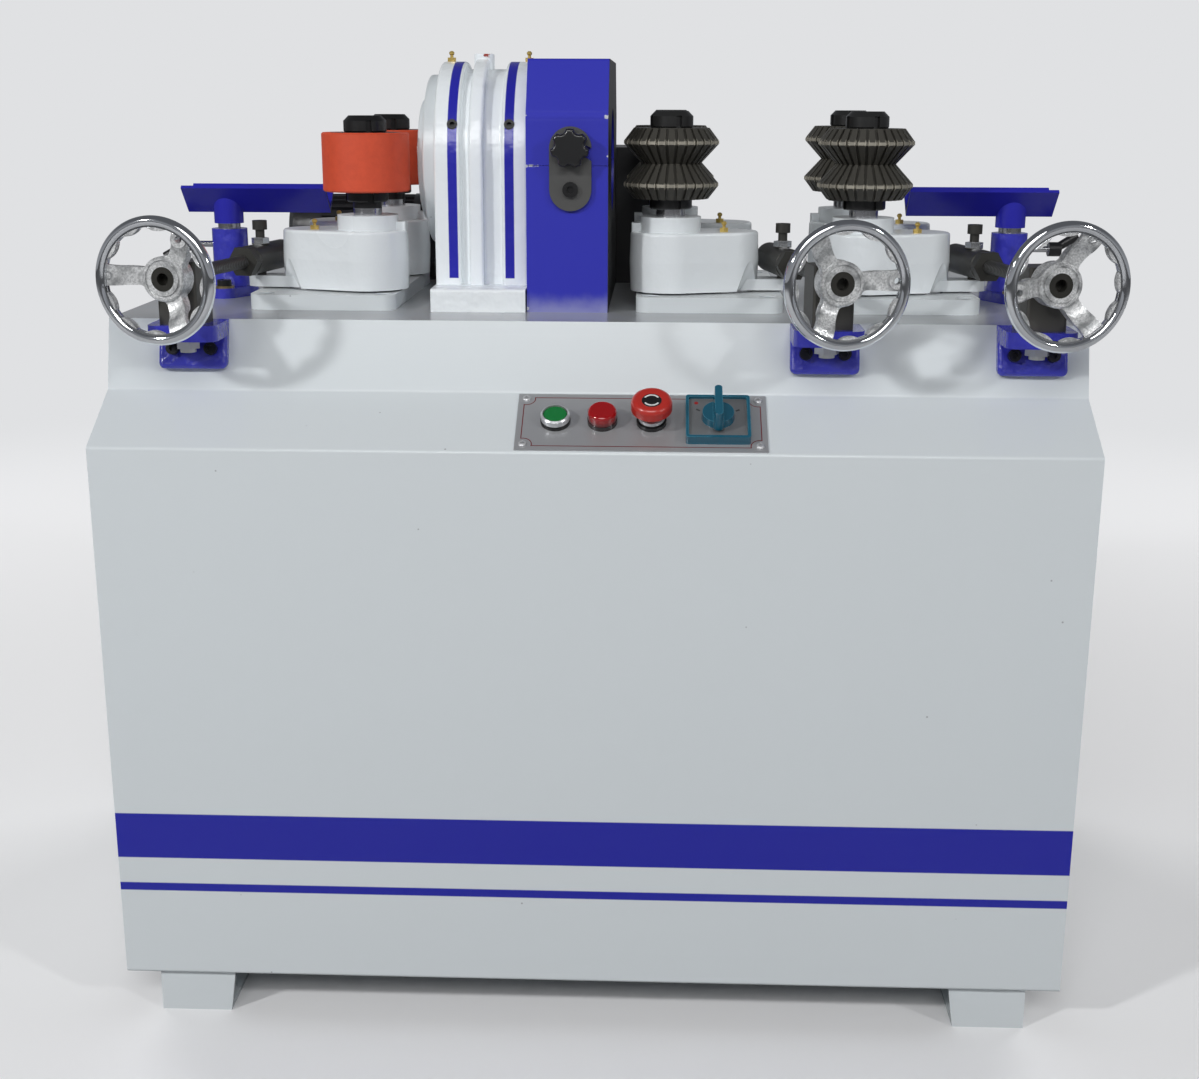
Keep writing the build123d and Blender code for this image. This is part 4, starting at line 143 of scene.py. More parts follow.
class Wiring:
    """Adds nodes to one tree and joins them."""

    def __init__(self, tree):
        self.tree = tree

    def plug(self, socket, value):
        if isinstance(value, bpy.types.NodeSocket):
            self.tree.links.new(value, socket)
        else:
            socket.default_value = value

    def add(self, kind, settings=None, **inputs):
        made = self.tree.nodes.new("ShaderNode" + kind)
        for name, value in (settings or {}).items():
            setattr(made, name, value)
        for name, value in inputs.items():
            self.plug(made.inputs[name.replace("_", " ")], value)
        return made

    def math(self, operation, first, second=0.0, clamp=False):
        made = self.tree.nodes.new("ShaderNodeMath")
        made.operation = operation
        made.use_clamp = clamp
        for socket, value in zip(made.inputs, (first, second)):
            self.plug(socket, value)
        return made.outputs[0]

    def times(self, first, second):
        return self.math("MULTIPLY", first, second)

    def plus(self, first, second):
        return self.math("ADD", first, second)

    def minus(self, first, second):
        return self.math("SUBTRACT", first, second)

    def larger(self, first, second):
        return self.math("MAXIMUM", first, second)

    def blend(self, share, first, second):
        """A colour between two colours."""
        made = self.tree.nodes.new("ShaderNodeMix")
        made.data_type = "RGBA"
        for index, value in ((0, share), (6, first), (7, second)):
            self.plug(made.inputs[index], value)
        return made.outputs[2]

    def between(self, value, low, high, to_low=0.0, to_high=1.0, smooth=False):
        """Takes the range from low to high to another range, and stops at its ends."""
        settings = {"interpolation_type": "SMOOTHSTEP"} if smooth else None
        ends = {"From_Min": low, "From_Max": high, "To_Min": to_low, "To_Max": to_high}
        made = self.add("MapRange", settings, Value=value, **ends)
        return made.outputs["Result"]

    def band(self, value, low, high, soft=0.0004):
        """1 between two values, 0 outside them."""
        rise = self.between(value, low - soft, low + soft)
        fall = self.between(value, high + soft, high - soft)
        return self.times(rise, fall)

    def above(self, value, limit, soft=0.0003):
        return self.between(value, limit - soft, limit + soft)

    def below(self, value, limit, soft=0.0003):
        return self.between(value, limit + soft, limit - soft)

    def noise(self, vector, scale, detail=3.0, roughness=0.55):
        made = self.add("TexNoise", Vector=vector, Scale=scale, Detail=detail, Roughness=roughness)
        return made.outputs["Fac"]

    def place(self):
        """Where a point is on the piece, in metres in the model's frame."""
        return self.add("TexCoord").outputs["Object"]

    def axes(self, vector):
        made = self.add("SeparateXYZ", Vector=vector)
        return made.outputs["X"], made.outputs["Y"], made.outputs["Z"]

    def turned(self, vector, centre, turn):
        """The place seen from a centre, with the axes turned."""
        settings = {"vector_type": "TEXTURE"}
        made = self.add("Mapping", settings, Vector=vector, Location=centre, Rotation=turn)
        return made.outputs["Vector"]

    def reach(self, first, second):
        """How far a point is from the crossing of two axes."""
        squares = self.plus(self.times(first, first), self.times(second, second))
        return self.math("SQRT", squares)

    def spot(self, place, centre, size):
        """A small ragged patch round a point."""
        away = self.add("VectorMath", {"operation": "DISTANCE"})
        self.plug(away.inputs[0], place)
        self.plug(away.inputs[1], centre)
        ragged = self.times(self.noise(place, SPOT_GRAIN), size)
        edge = self.plus(away.outputs["Value"], ragged)
        return self.below(edge, SPOT_EDGE * size, SPOT_SOFT * size)


# Shared effects: heights are in metres, a grain is the count of features along one metre

PEEL_GRAIN = 420.0
PEEL_HEIGHT = 0.00003
WAVE_GRAIN = 9.0
WAVE_HEIGHT = 0.00015
HAZE_GRAIN = 5.0
NIB_GRAIN = 70.0
NIB_EDGE = (0.09, 0.05)
LUMP_GRAIN = 70.0
LUMP_HEIGHT = 0.0012
LUMP_HOLLOW = (0.55, 0.3)
SKIN_GRAIN = 260.0
SKIN_HEIGHT = 0.0003
EDGE_SAMPLES = 6
EDGE_TURN = (0.995, 0.9)
EDGE_SOFT = 0.08
DUST_FACING = (0.6, 1.0)
DUST_GRAIN = 40.0
DUST_DRIFT = (0.3, 0.8)
TOOL_STRETCH = (6.0, 900.0, 900.0)
TOOL_HEIGHT = 0.00003
TOOL_STREAK = (0.3, 0.7)


def new_group(name, inputs, outputs):
    """A shader node group; gives its wiring and the sockets of its two end nodes."""
    tree = bpy.data.node_groups.new(name, "ShaderNodeTree")
    for socket_name, value in inputs.items():
        kind = "NodeSocketVector" if socket_name == "Place" else "NodeSocketFloat"
        socket = tree.interface.new_socket(name=socket_name, in_out="INPUT", socket_type=kind)
        if value is not None:
            socket.default_value = value
    for socket_name in outputs:
        tree.interface.new_socket(name=socket_name, in_out="OUTPUT", socket_type="NodeSocketFloat")
    given = tree.nodes.new("NodeGroupInput").outputs
    out = tree.nodes.new("NodeGroupOutput").inputs
    return Wiring(tree), given, out


def make_paint_film():
    """Sprayed paint: a fine peel, slow waves and gloss that changes a little."""
    inputs = {"Place": None, "Peel": 1.0, "Wave": 1.0}
    w, given, out = new_group("paint film", inputs, ("Height", "Haze"))
    peel = w.times(w.noise(given["Place"], PEEL_GRAIN, detail=2.0), PEEL_HEIGHT)
    wave = w.times(w.noise(given["Place"], WAVE_GRAIN, detail=0.0), WAVE_HEIGHT)
    height = w.plus(w.times(peel, given["Peel"]), w.times(wave, given["Wave"]))
    w.plug(out["Height"], height)
    w.plug(out["Haze"], w.noise(given["Place"], HAZE_GRAIN, detail=1.0))
    return w.tree


def make_paint_nibs():
    """Dust nibs caught in the paint: a few small dots, far apart."""
    w, given, out = new_group("paint nibs", {"Place": None, "Amount": 0.1}, ("Mask",))
    cells = w.add("TexVoronoi", Vector=given["Place"], Scale=NIB_GRAIN)
    dots = w.between(cells.outputs["Distance"], *NIB_EDGE)
    chance = w.axes(cells.outputs["Color"])[0]
    w.plug(out["Mask"], w.times(dots, w.math("LESS_THAN", chance, given["Amount"])))
    return w.tree


def make_cast_skin():
    """Rough casting under thick paint: soft lumps and a fine grain."""
    inputs = {"Place": None, "Lump": 1.0, "Grain": 1.0}
    w, given, out = new_group("cast skin", inputs, ("Height", "Hollow"))
    lumps = w.noise(given["Place"], LUMP_GRAIN, detail=2.0, roughness=0.5)
    grains = w.noise(given["Place"], SKIN_GRAIN, detail=3.0, roughness=0.6)
    lump_height = w.times(lumps, w.times(given["Lump"], LUMP_HEIGHT))
    grain_height = w.times(grains, w.times(given["Grain"], SKIN_HEIGHT))
    w.plug(out["Height"], w.plus(lump_height, grain_height))
    w.plug(out["Hollow"], w.between(lumps, *LUMP_HOLLOW))
    return w.tree


def make_worn_edges():
    """Edges that were knocked and rubbed: where the surface turns, broken up by noise."""
    inputs = {"Place": None, "Reach": 0.0015, "Amount": 0.5, "Patch": 60.0}
    w, given, out = new_group("worn edges", inputs, ("Mask",))
    rounded = w.add("Bevel", {"samples": EDGE_SAMPLES}, Radius=given["Reach"])
    match = w.add("VectorMath", {"operation": "DOT_PRODUCT"})
    w.plug(match.inputs[0], rounded.outputs["Normal"])
    w.plug(match.inputs[1], w.add("NewGeometry").outputs["Normal"])
    turn = w.between(match.outputs["Value"], *EDGE_TURN)
    patches = w.noise(given["Place"], given["Patch"], detail=4.0, roughness=0.65)
    limit = w.minus(1.0, given["Amount"])
    kept = w.between(patches, limit, w.plus(limit, EDGE_SOFT))
    w.plug(out["Mask"], w.math("MULTIPLY", turn, kept, clamp=True))
    return w.tree


def make_settled_dust():
    """Wood dust that lies on what faces up."""
    w, given, out = new_group("settled dust", {"Place": None, "Amount": 0.3}, ("Mask",))
    up = w.axes(w.add("NewGeometry").outputs["Normal"])[2]
    facing = w.between(up, *DUST_FACING)
    drift = w.between(w.noise(given["Place"], DUST_GRAIN, roughness=0.6), *DUST_DRIFT)
    w.plug(out["Mask"], w.times(w.times(facing, drift), given["Amount"]))
    return w.tree


def make_tool_marks():
    """Fine lines from grinding or turning, along the first axis of the place."""
    w, given, out = new_group("tool marks", {"Place": None, "Fine": 1.0}, ("Height", "Streak"))
    stretched = w.add("Mapping", Vector=given["Place"], Scale=TOOL_STRETCH)
    lines = w.noise(stretched.outputs["Vector"], 1.0, roughness=0.7)
    w.plug(out["Height"], w.times(lines, w.times(given["Fine"], TOOL_HEIGHT)))
    w.plug(out["Streak"], w.between(lines, *TOOL_STREAK))
    return w.tree


groups = {
    "film": make_paint_film(),
    "nibs": make_paint_nibs(),
    "cast": make_cast_skin(),
    "edges": make_worn_edges(),
    "dust": make_settled_dust(),
    "marks": make_tool_marks(),
}


def use(w, group, **inputs):
    """Places one of the shared effects in a material."""
    made = w.tree.nodes.new("ShaderNodeGroup")
    made.node_tree = groups[group]
    for name, value in inputs.items():
        w.plug(made.inputs[name], value)
    return made.outputs


# Kinds of finish; each gives the material, its wiring and the place, for patterns on top

FOOT_FADE = 0.03
FOOT_LUMP = 2.6
CAST_GLOSS = (0.2, 0.3)


def new_finish(name, **shader):
    """A Principled material; gives it, its wiring and the shader's sockets."""
    material = bpy.data.materials.new(name)
    material.use_nodes = True
    w = Wiring(material.node_tree)
    sockets = material.node_tree.nodes["Principled BSDF"].inputs
    for socket_name, value in shader.items():
        sockets[socket_name.replace("_", " ")].default_value = value
    return material, w, sockets


def raise_surface(w, sockets, height):
    bump = w.add("Bump", Distance=1.0, Height=height)
    w.plug(sockets["Normal"], bump.outputs["Normal"])


def sprayed(
    name, colour, bare=PRIMER, wear=0.28, dust=0.12, rough=(0.26, 0.34), wave=1.0, nibs=0, coat=0.2
):
    """Gloss paint on sheet or machined plate, worn on its edges."""
    material, w, sockets = new_finish(name, Coat_Weight=coat, Coat_Roughness=0.12)
    place = w.place()
    film = use(w, "film", Place=place, Wave=wave)
    worn = use(w, "edges", Place=place, Amount=wear)["Mask"]
    tone = w.blend(worn, colour, bare)
    if nibs:
        tone = w.blend(use(w, "nibs", Place=place, Amount=nibs)["Mask"], tone, NIB)
    if dust:
        tone = w.blend(use(w, "dust", Place=place, Amount=dust)["Mask"], tone, DUST)
    w.plug(sockets["Base Color"], tone)
    w.plug(sockets["Roughness"], w.between(film["Haze"], 0.0, 1.0, *rough))
    raise_surface(w, sockets, film["Height"])
    return material, w, place


def cast_painted(
    name, colour, bare=PRIMER, wear=0.3, lump=1.0, grain=1.0, coat=0.3, rough_below=None
):
    """Thick gloss paint on a casting, which can be rougher below a height."""
    material, w, sockets = new_finish(name, Coat_Weight=coat, Coat_Roughness=0.08)
    place = w.place()
    if rough_below:
        z = w.axes(place)[2]
        lump = w.between(z, rough_below, rough_below - FOOT_FADE, lump, FOOT_LUMP)
    skin = use(w, "cast", Place=place, Lump=lump, Grain=grain)
    film = use(w, "film", Place=place, Wave=2.0)
    worn = use(w, "edges", Place=place, Amount=wear, Reach=0.002)["Mask"]
    w.plug(sockets["Base Color"], w.blend(worn, colour, bare))
    w.plug(sockets["Roughness"], w.between(film["Haze"], 0.0, 1.0, *CAST_GLOSS))
    raise_surface(w, sockets, w.plus(skin["Height"], film["Height"]))
    return material, w, place


def metal(name, colour, dull, rough, wear=0.0, bright=STEEL, fine=0.6, metallic=1.0):
    """Bare, plated or blackened metal with tool marks; worn edges show a brighter metal."""
    material, w, sockets = new_finish(name, Metallic=metallic)
    place = w.place()
    marks = use(w, "marks", Place=place, Fine=fine)
    film = use(w, "film", Place=place, Wave=0.2)
    tone = w.blend(film["Haze"], colour, dull)
    if wear:
        worn = use(w, "edges", Place=place, Amount=wear, Reach=0.0012, Patch=90.0)["Mask"]
        tone = w.blend(worn, tone, bright)
    w.plug(sockets["Base Color"], tone)
    w.plug(sockets["Roughness"], w.between(marks["Streak"], 0.0, 1.0, *rough))
    raise_surface(w, sockets, w.plus(marks["Height"], film["Height"]))
    return material, w, place


def blackened(name):
    """Black oxide steel, rubbed grey on its edges."""
    return metal(
        name, OXIDE, OXIDE_DULL, rough=(0.28, 0.4), wear=0.3, bright=OXIDE_BRIGHT, metallic=0.3
    )


def moulded(name, colour, edge, rough=(0.3, 0.42), coat=0.0, peel=1.0):
    """Moulded plastic or rubber with a fine skin; its edges take another tone."""
    material, w, sockets = new_finish(name, Coat_Weight=coat, Coat_Roughness=0.1)
    place = w.place()
    film = use(w, "film", Place=place, Peel=peel, Wave=0.1)
    # Edge tone: wear on most plastics; on the teal plastic it is a painted highlight.
    worn = use(w, "edges", Place=place, Amount=0.62, Reach=0.001, Patch=30.0)["Mask"]
    w.plug(sockets["Base Color"], w.blend(worn, colour, edge))
    w.plug(sockets["Roughness"], w.between(film["Haze"], 0.0, 1.0, *rough))
    raise_surface(w, sockets, film["Height"])
    return material, w, place


def overlay(material, w, mask, colour, roughness=None, metallic=None):
    """Lays another finish over the material where the mask says."""
    sockets = material.node_tree.nodes["Principled BSDF"].inputs
    base = sockets["Base Color"]
    w.plug(base, w.blend(mask, base.links[0].from_socket, colour))
    for name, value in (("Roughness", roughness), ("Metallic", metallic)):
        if value is not None:
            socket = sockets[name]
            under = socket.links[0].from_socket if socket.links else socket.default_value
            w.plug(socket, w.between(mask, 0.0, 1.0, under, value))


# Places and patterns, read from the solid model where it shows them

BOSS_RISE = 0.016
TUBE_RADIUS = 0.016

cabinet_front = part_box("cabinet")[0].y
table_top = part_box("table_plate")[1].z
guard_low, guard_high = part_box("guard_base")
guard_seam = guard_high.z
base_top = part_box("arm_base_plates")[1].z
boss_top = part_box("infeed_inner_arm_front")[1].z
arm_top = boss_top - BOSS_RISE
stick_height = joints["spindle_spin"]["pos_m"][2]
column_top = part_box("trough_columns")[1].z
tube_top = joints["outfeed_wheel_turn"]["pos_m"][2] + TUBE_RADIUS
plate_low, plate_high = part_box("control_plate")
plate_middle = (plate_low + plate_high) / 2
panel_out = -Vector(joints["start_press"]["axis"])
panel_up = panel_out.cross(Vector((1, 0, 0)))
panel_tilt = atan2(-panel_out.y, panel_out.z)
selector_middle = Vector(joints["selector_turn"]["pos_m"])

# Cabinet, table and spindle housing
STRIPE_WIDE = (0.184, 0.2345)
STRIPE_THIN = (0.146, 0.155)
STRIPE_DEPTH = 0.0015
TABLE_EDGE = (0.5, 0.1)
HOUSING_STRIPES = ((-0.162, -0.152), (-0.101, -0.091))
HOUSING_STRIPE_END = 0.774
HOUSING_RING_TOP = 1.002
HOUSING_FOOT = 0.05
SMUDGE_PLACE = (-0.128, -0.014, 1.0095)
SMUDGE_RADIUS = 0.006
# Guard: chips are places with a radius
GUARD_CHIPS = (
    ((guard_low.x + 0.0005, guard_low.y, guard_seam - 0.0005), 0.0022),
    ((guard_high.x - 0.0022, guard_low.y + 0.001, table_top + 0.2015), 0.0032),
    ((guard_low.x + 0.0006, guard_low.y, table_top + 0.2030), 0.0016),
    ((guard_high.x - 0.0008, guard_low.y, table_top + 0.1620), 0.0015),
    ((guard_low.x + 0.0010, guard_low.y, table_top + 0.0040), 0.0022),
)
GUARD_FOLD = (table_top + 0.1985, table_top + 0.2065)
# Depth of the black painted shade on the guard's infeed side face
SHADE_DEPTH = 0.0004
SEAM_CHIP = (0.003, 0.013)
SEAM_CHIP_HALF = 0.0011
CHIP_GRAIN = 300.0
# Pale painted reflection along the guard's bottom, in the primer's colour
REFLECTION_BAND = (0.017, -0.008)
REFLECTION_SHARE = 0.4
REFLECTION_GRAIN = 60.0
REFLECTION_RAGGED = 0.012
# Rollers and their spindles
ROLLER_HALF = 0.037
ROLLER_CREST = (0.0195, 0.0255)
ROLLER_LAND = (0.0206, 0.0234)
LAND_GRAIN = 90.0
LAND_SHARE = (0.25, 0.6)
NUT_BELOW = 0.011
SHAFT_SHOWS = 0.007
SHAFT_SUNK = 0.002
MOTTLE_GRAIN = 120.0
MOTTLE_SHARE = 0.4
# Wheels, screws, swivel blocks and tubes
RIM_INSIDE = 0.0514
RIM_OUT = 0.060
RIM_GLOSS = (0.05, 0.09)
SPOKE_GLOSS = (0.28, 0.44)
SPOKE_METALLIC = 0.4
SPARKLE_GRAIN = 480.0
SPARKLE_SHARE = 0.6
HUB_BACK = 0.0205
THREAD_PITCH = 0.004
THREAD_HEIGHT = 0.0004
SHELF_THICK = 0.016
LOCK_NUT = (0.0003, 0.0062)
# Troughs and cap screws
POST_SHOWS = 0.006
CLAMP_SHANK_END = 0.044
COLUMN_SCREWS_END = 0.08
TABLE_SCREWS_START = -0.19
WASHER_TOP = table_top + 0.0131
# Controls
PLATE_HALF = ((plate_high.x - plate_low.x) / 2, 0.0425)
PLATE_HALF_THICK = 0.00075
BORDER_INSET = 0.006
BORDER_HALF = 0.0005
BORDER_NOTCH = 0.009
PLATE_SCREW_INSET = 0.008
START_BASE = 0.0045
STOP_BASE = 0.0055
STOP_SIDE = (0.020, 0.019)
COLLAR_RADIUS = 0.0155
LENS_SKIRT = (0.011, 0.006)
DIAL_RECESS = 0.007
DIAL_TURNS = (-60.0, 0.0, 60.0)
DIAL_TICKS = (0.0205, 0.0250)
DIAL_TICK_HALF = 0.045
DIAL_DOT = (-0.0215, 0.0220)
DIAL_DOT_RADIUS = 0.0021


def middle_of(node):
    low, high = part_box(node)
    return (low + high) / 2


def panel_point(middle, across, up, out):
    """A point over the control panel, from a place on it."""
    return Vector(middle) + Vector((across, 0, 0)) + panel_up * up + panel_out * out


def on_panel(w, place, middle):
    """Across, up and out of the control panel, from a place on it."""
    return w.axes(w.turned(place, middle, (panel_tilt, 0.0, 0.0)))


def on_wheel(w, place, station):
    """Along the wheel's axis into the machine, and across it."""
    turn = joints[f"{station}_wheel_turn"]
    inward = Vector(turn["axis"])
    heading = (0.0, 0.0, atan2(inward.y, inward.x))
    return w.axes(w.turned(place, Vector(turn["pos_m"]), heading))


# Finishes with a pattern of their own


def cabinet_paint():
    """White sheet with a wide and a thin blue stripe along the front."""
    name = "cabinet white paint"
    material, w, place = sprayed(
        name, WHITE, wear=0.2, dust=0, rough=(0.2, 0.28), wave=1.2, nibs=0.04, coat=0.0
    )
    _, y, z = w.axes(place)
    front = w.below(y, cabinet_front + STRIPE_DEPTH)
    stripes = w.larger(w.band(z, *STRIPE_WIDE), w.band(z, *STRIPE_THIN))
    overlay(material, w, w.times(front, stripes), STRIPE_BLUE)
    return material


def table_paint():
    """Gloss paint greyed on the top, partly as painted shade; the plate's edges are white like the
    cabinet.
    """
    material, w, _ = sprayed(
        "table grey paint", TABLE_TOP_SHADE, wear=0.2, dust=0.12, rough=(0.2, 0.28), nibs=0.1
    )
    up = w.axes(w.add("NewGeometry").outputs["Normal"])[2]
    overlay(material, w, w.below(up, *TABLE_EDGE), WHITE)
    return material


def housing_paint():
    """White casting with a blue line round each ring and a red smudge on the lug."""
    name = "housing white cast paint"
    foot_top = table_top + HOUSING_FOOT
    # Lighter white than the arms: painted light for the housing.
    material, w, place = cast_painted(
        name, HOUSING_LIT_WHITE, wear=0.16, lump=1.1, grain=0.3, coat=0.1, rough_below=foot_top
    )
    x, _, z = w.axes(place)
    left_line, right_line = [w.band(x, *stripe) for stripe in HOUSING_STRIPES]
    lines = w.times(w.larger(left_line, right_line), w.above(z, HOUSING_STRIPE_END))
    overlay(material, w, lines, BLUE)
    overlay(material, w, w.spot(place, SMUDGE_PLACE, SMUDGE_RADIUS), SMUDGE)
    return material


def guard_paint():
    """Blue sheet: black on its infeed side as painted shade, a pale painted reflection at the
    bottom, dull along a fold, chipped.
    """
    material, w, place = sprayed(
        "guard blue paint", GUARD_BLUE, wear=0.06, dust=0, rough=(0.34, 0.42), coat=0.0
    )
    x, _, z = w.axes(place)
    # Painted reflection: the guard's bottom is paled towards the primer's colour.
    ragged = w.times(w.noise(place, REFLECTION_GRAIN), REFLECTION_RAGGED)
    reflection_from, reflection_to = [guard_low.z + rise for rise in REFLECTION_BAND]
    thin = w.between(w.minus(z, ragged), reflection_from, reflection_to, smooth=True)
    overlay(material, w, w.times(thin, REFLECTION_SHARE), PRIMER)
    overlay(material, w, w.band(z, *GUARD_FOLD, soft=0.001), GUARD_BLUE, roughness=0.8)
    for chip, radius in GUARD_CHIPS:
        overlay(material, w, w.spot(place, chip, radius), PRIMER)
    along_seam = w.band(z, guard_seam - SEAM_CHIP_HALF, guard_seam + SEAM_CHIP_HALF)
    chip_from, chip_to = [guard_low.x + across for across in SEAM_CHIP]
    broken = w.above(w.noise(place, CHIP_GRAIN, detail=2.0), 0.42, soft=0.05)
    scratch = w.times(along_seam, w.band(x, chip_from, chip_to))
    overlay(material, w, w.times(scratch, broken), PRIMER)
    # Painted shade: the guard's infeed side face is coloured black.
    shaded_side = w.above(x, guard_high.x - SHADE_DEPTH)
    overlay(material, w, shaded_side, BLACK_PAINT, roughness=0.5)
    return material


def trough_paint(node):
    """Blue angle iron on a bare steel post."""
    material, w, place = cast_painted(
        f"{node} blue paint", BLUE, BLUE_CHIP, lump=0.15, grain=0.5, coat=0.1
    )
    z = w.axes(place)[2]
    post = w.below(z, column_top + POST_SHOWS)
    overlay(material, w, post, STEEL, roughness=0.2, metallic=1.0)
    return material


def roller_finish():
    """Dark teeth with worn crests between black nuts, on a bright spindle."""
    name = "toothed roller dark steel"
    gloss = (0.42, 0.54)
    material, w, place = metal(
        name, TOOTH_DARK, TOOTH_DULL, rough=gloss, wear=0.46, bright=TOOTH_EDGE, metallic=0.35
    )
    z = w.axes(place)[2]
    from_middle = w.math("ABSOLUTE", w.minus(z, stick_height))
    crest = w.band(from_middle, *ROLLER_CREST, soft=0.001)
    worn = use(w, "edges", Place=place, Amount=0.85, Reach=0.0014, Patch=90.0)["Mask"]
    patches = w.between(w.noise(place, LAND_GRAIN), 0.3, 0.7, *LAND_SHARE)
    land = w.times(w.band(from_middle, *ROLLER_LAND), patches)
    overlay(material, w, w.larger(w.times(crest, worn), land), TOOTH_BRIGHT)
    teeth = w.band(z, stick_height - ROLLER_HALF, stick_height + ROLLER_HALF, soft=0.0001)
    overlay(material, w, w.minus(1.0, teeth), NUT_BLACK, roughness=0.3, metallic=0.3)
    shaft = w.band(z, boss_top - SHAFT_SUNK, stick_height - ROLLER_HALF - NUT_BELOW)
    overlay(material, w, shaft, STEEL, roughness=0.22, metallic=1.0)
    return material


def spindle_finish():
    """Black core and nuts of the rubber rollers, on a bright spindle."""
    material, w, place = blackened("rubber roller spindle")
    z = w.axes(place)[2]
    shaft = w.band(z, boss_top - SHAFT_SUNK, boss_top + SHAFT_SHOWS)
    overlay(material, w, shaft, STEEL, roughness=0.22, metallic=1.0)
    return material


def rubber_finish():
    """Orange rubber, a little mottled."""
    material, w, place = moulded(
        "orange roller rubber", ORANGE, ORANGE_DARK, rough=(0.5, 0.62), peel=3.0
    )
    mottle = w.between(w.noise(place, MOTTLE_GRAIN, detail=4.0, roughness=0.65), 0.35, 0.8)
    overlay(material, w, w.times(mottle, MOTTLE_SHARE), ORANGE_DARK)
    return material


def wheel_finish(station):
    """Polished rim round bare cast spokes and hub."""
    material, w, sockets = new_finish(f"{station} wheel chrome and cast aluminium")
    place = w.place()
    _, side, up = on_wheel(w, place, station)
    rim = w.above(w.reach(side, up), RIM_INSIDE, soft=0.0002)
    skin = use(w, "cast", Place=place, Lump=0.25, Grain=1.8)
    film = use(w, "film", Place=place, Peel=0.4, Wave=0.1)
    sparkle = w.between(w.noise(place, SPARKLE_GRAIN, detail=2.0), 0.38, 0.66)
    cast = w.blend(skin["Hollow"], CAST_ALUMINIUM, CAST_SHADOW)
    cast = w.blend(w.times(sparkle, SPARKLE_SHARE), cast, STEEL_DARK)
    w.plug(sockets["Base Color"], w.blend(rim, cast, CHROME))
    w.plug(sockets["Metallic"], w.between(rim, 0.0, 1.0, SPOKE_METALLIC, 1.0))
    spoke_rough = w.between(sparkle, 0.0, 1.0, *SPOKE_GLOSS)
    rim_rough = w.between(film["Haze"], 0.0, 1.0, *RIM_GLOSS)
    w.plug(sockets["Roughness"], w.between(rim, 0.0, 1.0, spoke_rough, rim_rough))
    spoke_height = w.times(skin["Height"], w.minus(1.0, rim))
    raise_surface(w, sockets, w.plus(spoke_height, film["Height"]))
    return material


def screw_finish(station):
    """Adjusting screw: blackened, with a rolled thread behind the hub."""
    material, w, sockets = new_finish(f"{station} screw thread", Metallic=0.6)
    place = w.place()
    along, side, up = on_wheel(w, place, station)
    film = use(w, "film", Place=place, Wave=0.2)
    phase = w.plus(w.times(along, 2 * pi / THREAD_PITCH), w.math("ARCTAN2", up, side))
    threaded = w.above(along, -HUB_BACK, soft=0.001)
    wave = w.math("SINE", phase)
    crest = w.times(w.between(wave, 0.3, 1.0), threaded)
    w.plug(sockets["Base Color"], w.blend(crest, TUBE_GREY, STEEL_DARK))
    w.plug(sockets["Roughness"], w.between(film["Haze"], 0.0, 1.0, 0.3, 0.42))
    thread_height = w.times(w.times(wave, THREAD_HEIGHT), threaded)
    raise_surface(w, sockets, w.plus(thread_height, film["Height"]))
    return material


def block_finish():
    """Swivel block of dark steel; its nut under the shelf is zinc plated."""
    material, w, place = metal(
        "swivel block steel", BLOCK_STEEL, TUBE_GREY, rough=(0.4, 0.5), wear=0.3, metallic=0.5
    )
    z = w.axes(place)[2]
    overlay(material, w, w.below(z, table_top - SHELF_THICK), ZINC, roughness=0.24)
    return material


def tube_finish():
    """Black spring tube; the lock nut of its set bolt is zinc plated."""
    name = "spring tube black"
    gloss = (0.4, 0.52)
    material, w, place = metal(
        name, TUBE_GREY, TUBE_DULL, rough=gloss, wear=0.25, bright=OXIDE_BRIGHT, metallic=0.3
    )
    z = w.axes(place)[2]
    lock_nut = w.band(z, tube_top + LOCK_NUT[0], tube_top + LOCK_NUT[1])
    overlay(material, w, lock_nut, ZINC, roughness=0.22, metallic=1.0)
    return material


def clamp_finish(node, turn):
    """Black clamp lever on a bright shank."""
    material, w, place = blackened(f"{node} black oxide")
    x = w.axes(place)[0]
    out = w.math("ABSOLUTE", w.minus(x, joints[turn]["pos_m"][0]))
    overlay(material, w, w.below(out, CLAMP_SHANK_END), STEEL, roughness=0.2, metallic=1.0)
    return material


def cap_screw_finish():
    """Black socket screws; yellow zinc washers on the columns, painted ones on the bases."""
    material, w, place = blackened("black oxide screw")
    _, y, z = w.axes(place)
    from_stick = w.math("ABSOLUTE", y)
    washers = w.times(w.below(from_stick, COLUMN_SCREWS_END), w.below(z, WASHER_TOP))
    overlay(material, w, washers, YELLOW_ZINC, roughness=0.3, metallic=1.0)
    on_base = w.times(w.below(z, base_top), w.above(from_stick, COLUMN_SCREWS_END))
    painted = w.times(on_base, w.above(y, TABLE_SCREWS_START))
    overlay(material, w, painted, WHITE_SHADOW, roughness=0.35, metallic=0.0)
    return material


def plate_finish():
    """Brushed control plate with a thin red border that steps round the corner screws."""
    material, w, place = metal(
        "control plate brushed", PLATE, PLATE_DULL, rough=(0.34, 0.46), fine=1.0, metallic=0.5
    )
    across, up, _ = on_panel(w, place, plate_middle)
    half_x, half_y = PLATE_HALF
    side = w.math("ABSOLUTE", across)
    rise = w.math("ABSOLUTE", up)
    past_side = w.minus(side, half_x - BORDER_INSET)
    past_rise = w.minus(rise, half_y - BORDER_INSET)
    corner_x = w.minus(side, half_x - PLATE_SCREW_INSET)
    corner_y = w.minus(rise, half_y - PLATE_SCREW_INSET)
    past_corner = w.minus(BORDER_NOTCH, w.reach(corner_x, corner_y))
    edge = w.larger(w.larger(past_side, past_rise), past_corner)
    border = w.band(edge, -BORDER_HALF, BORDER_HALF, soft=0.0001)
    overlay(material, w, border, BORDER_RED)
    return material


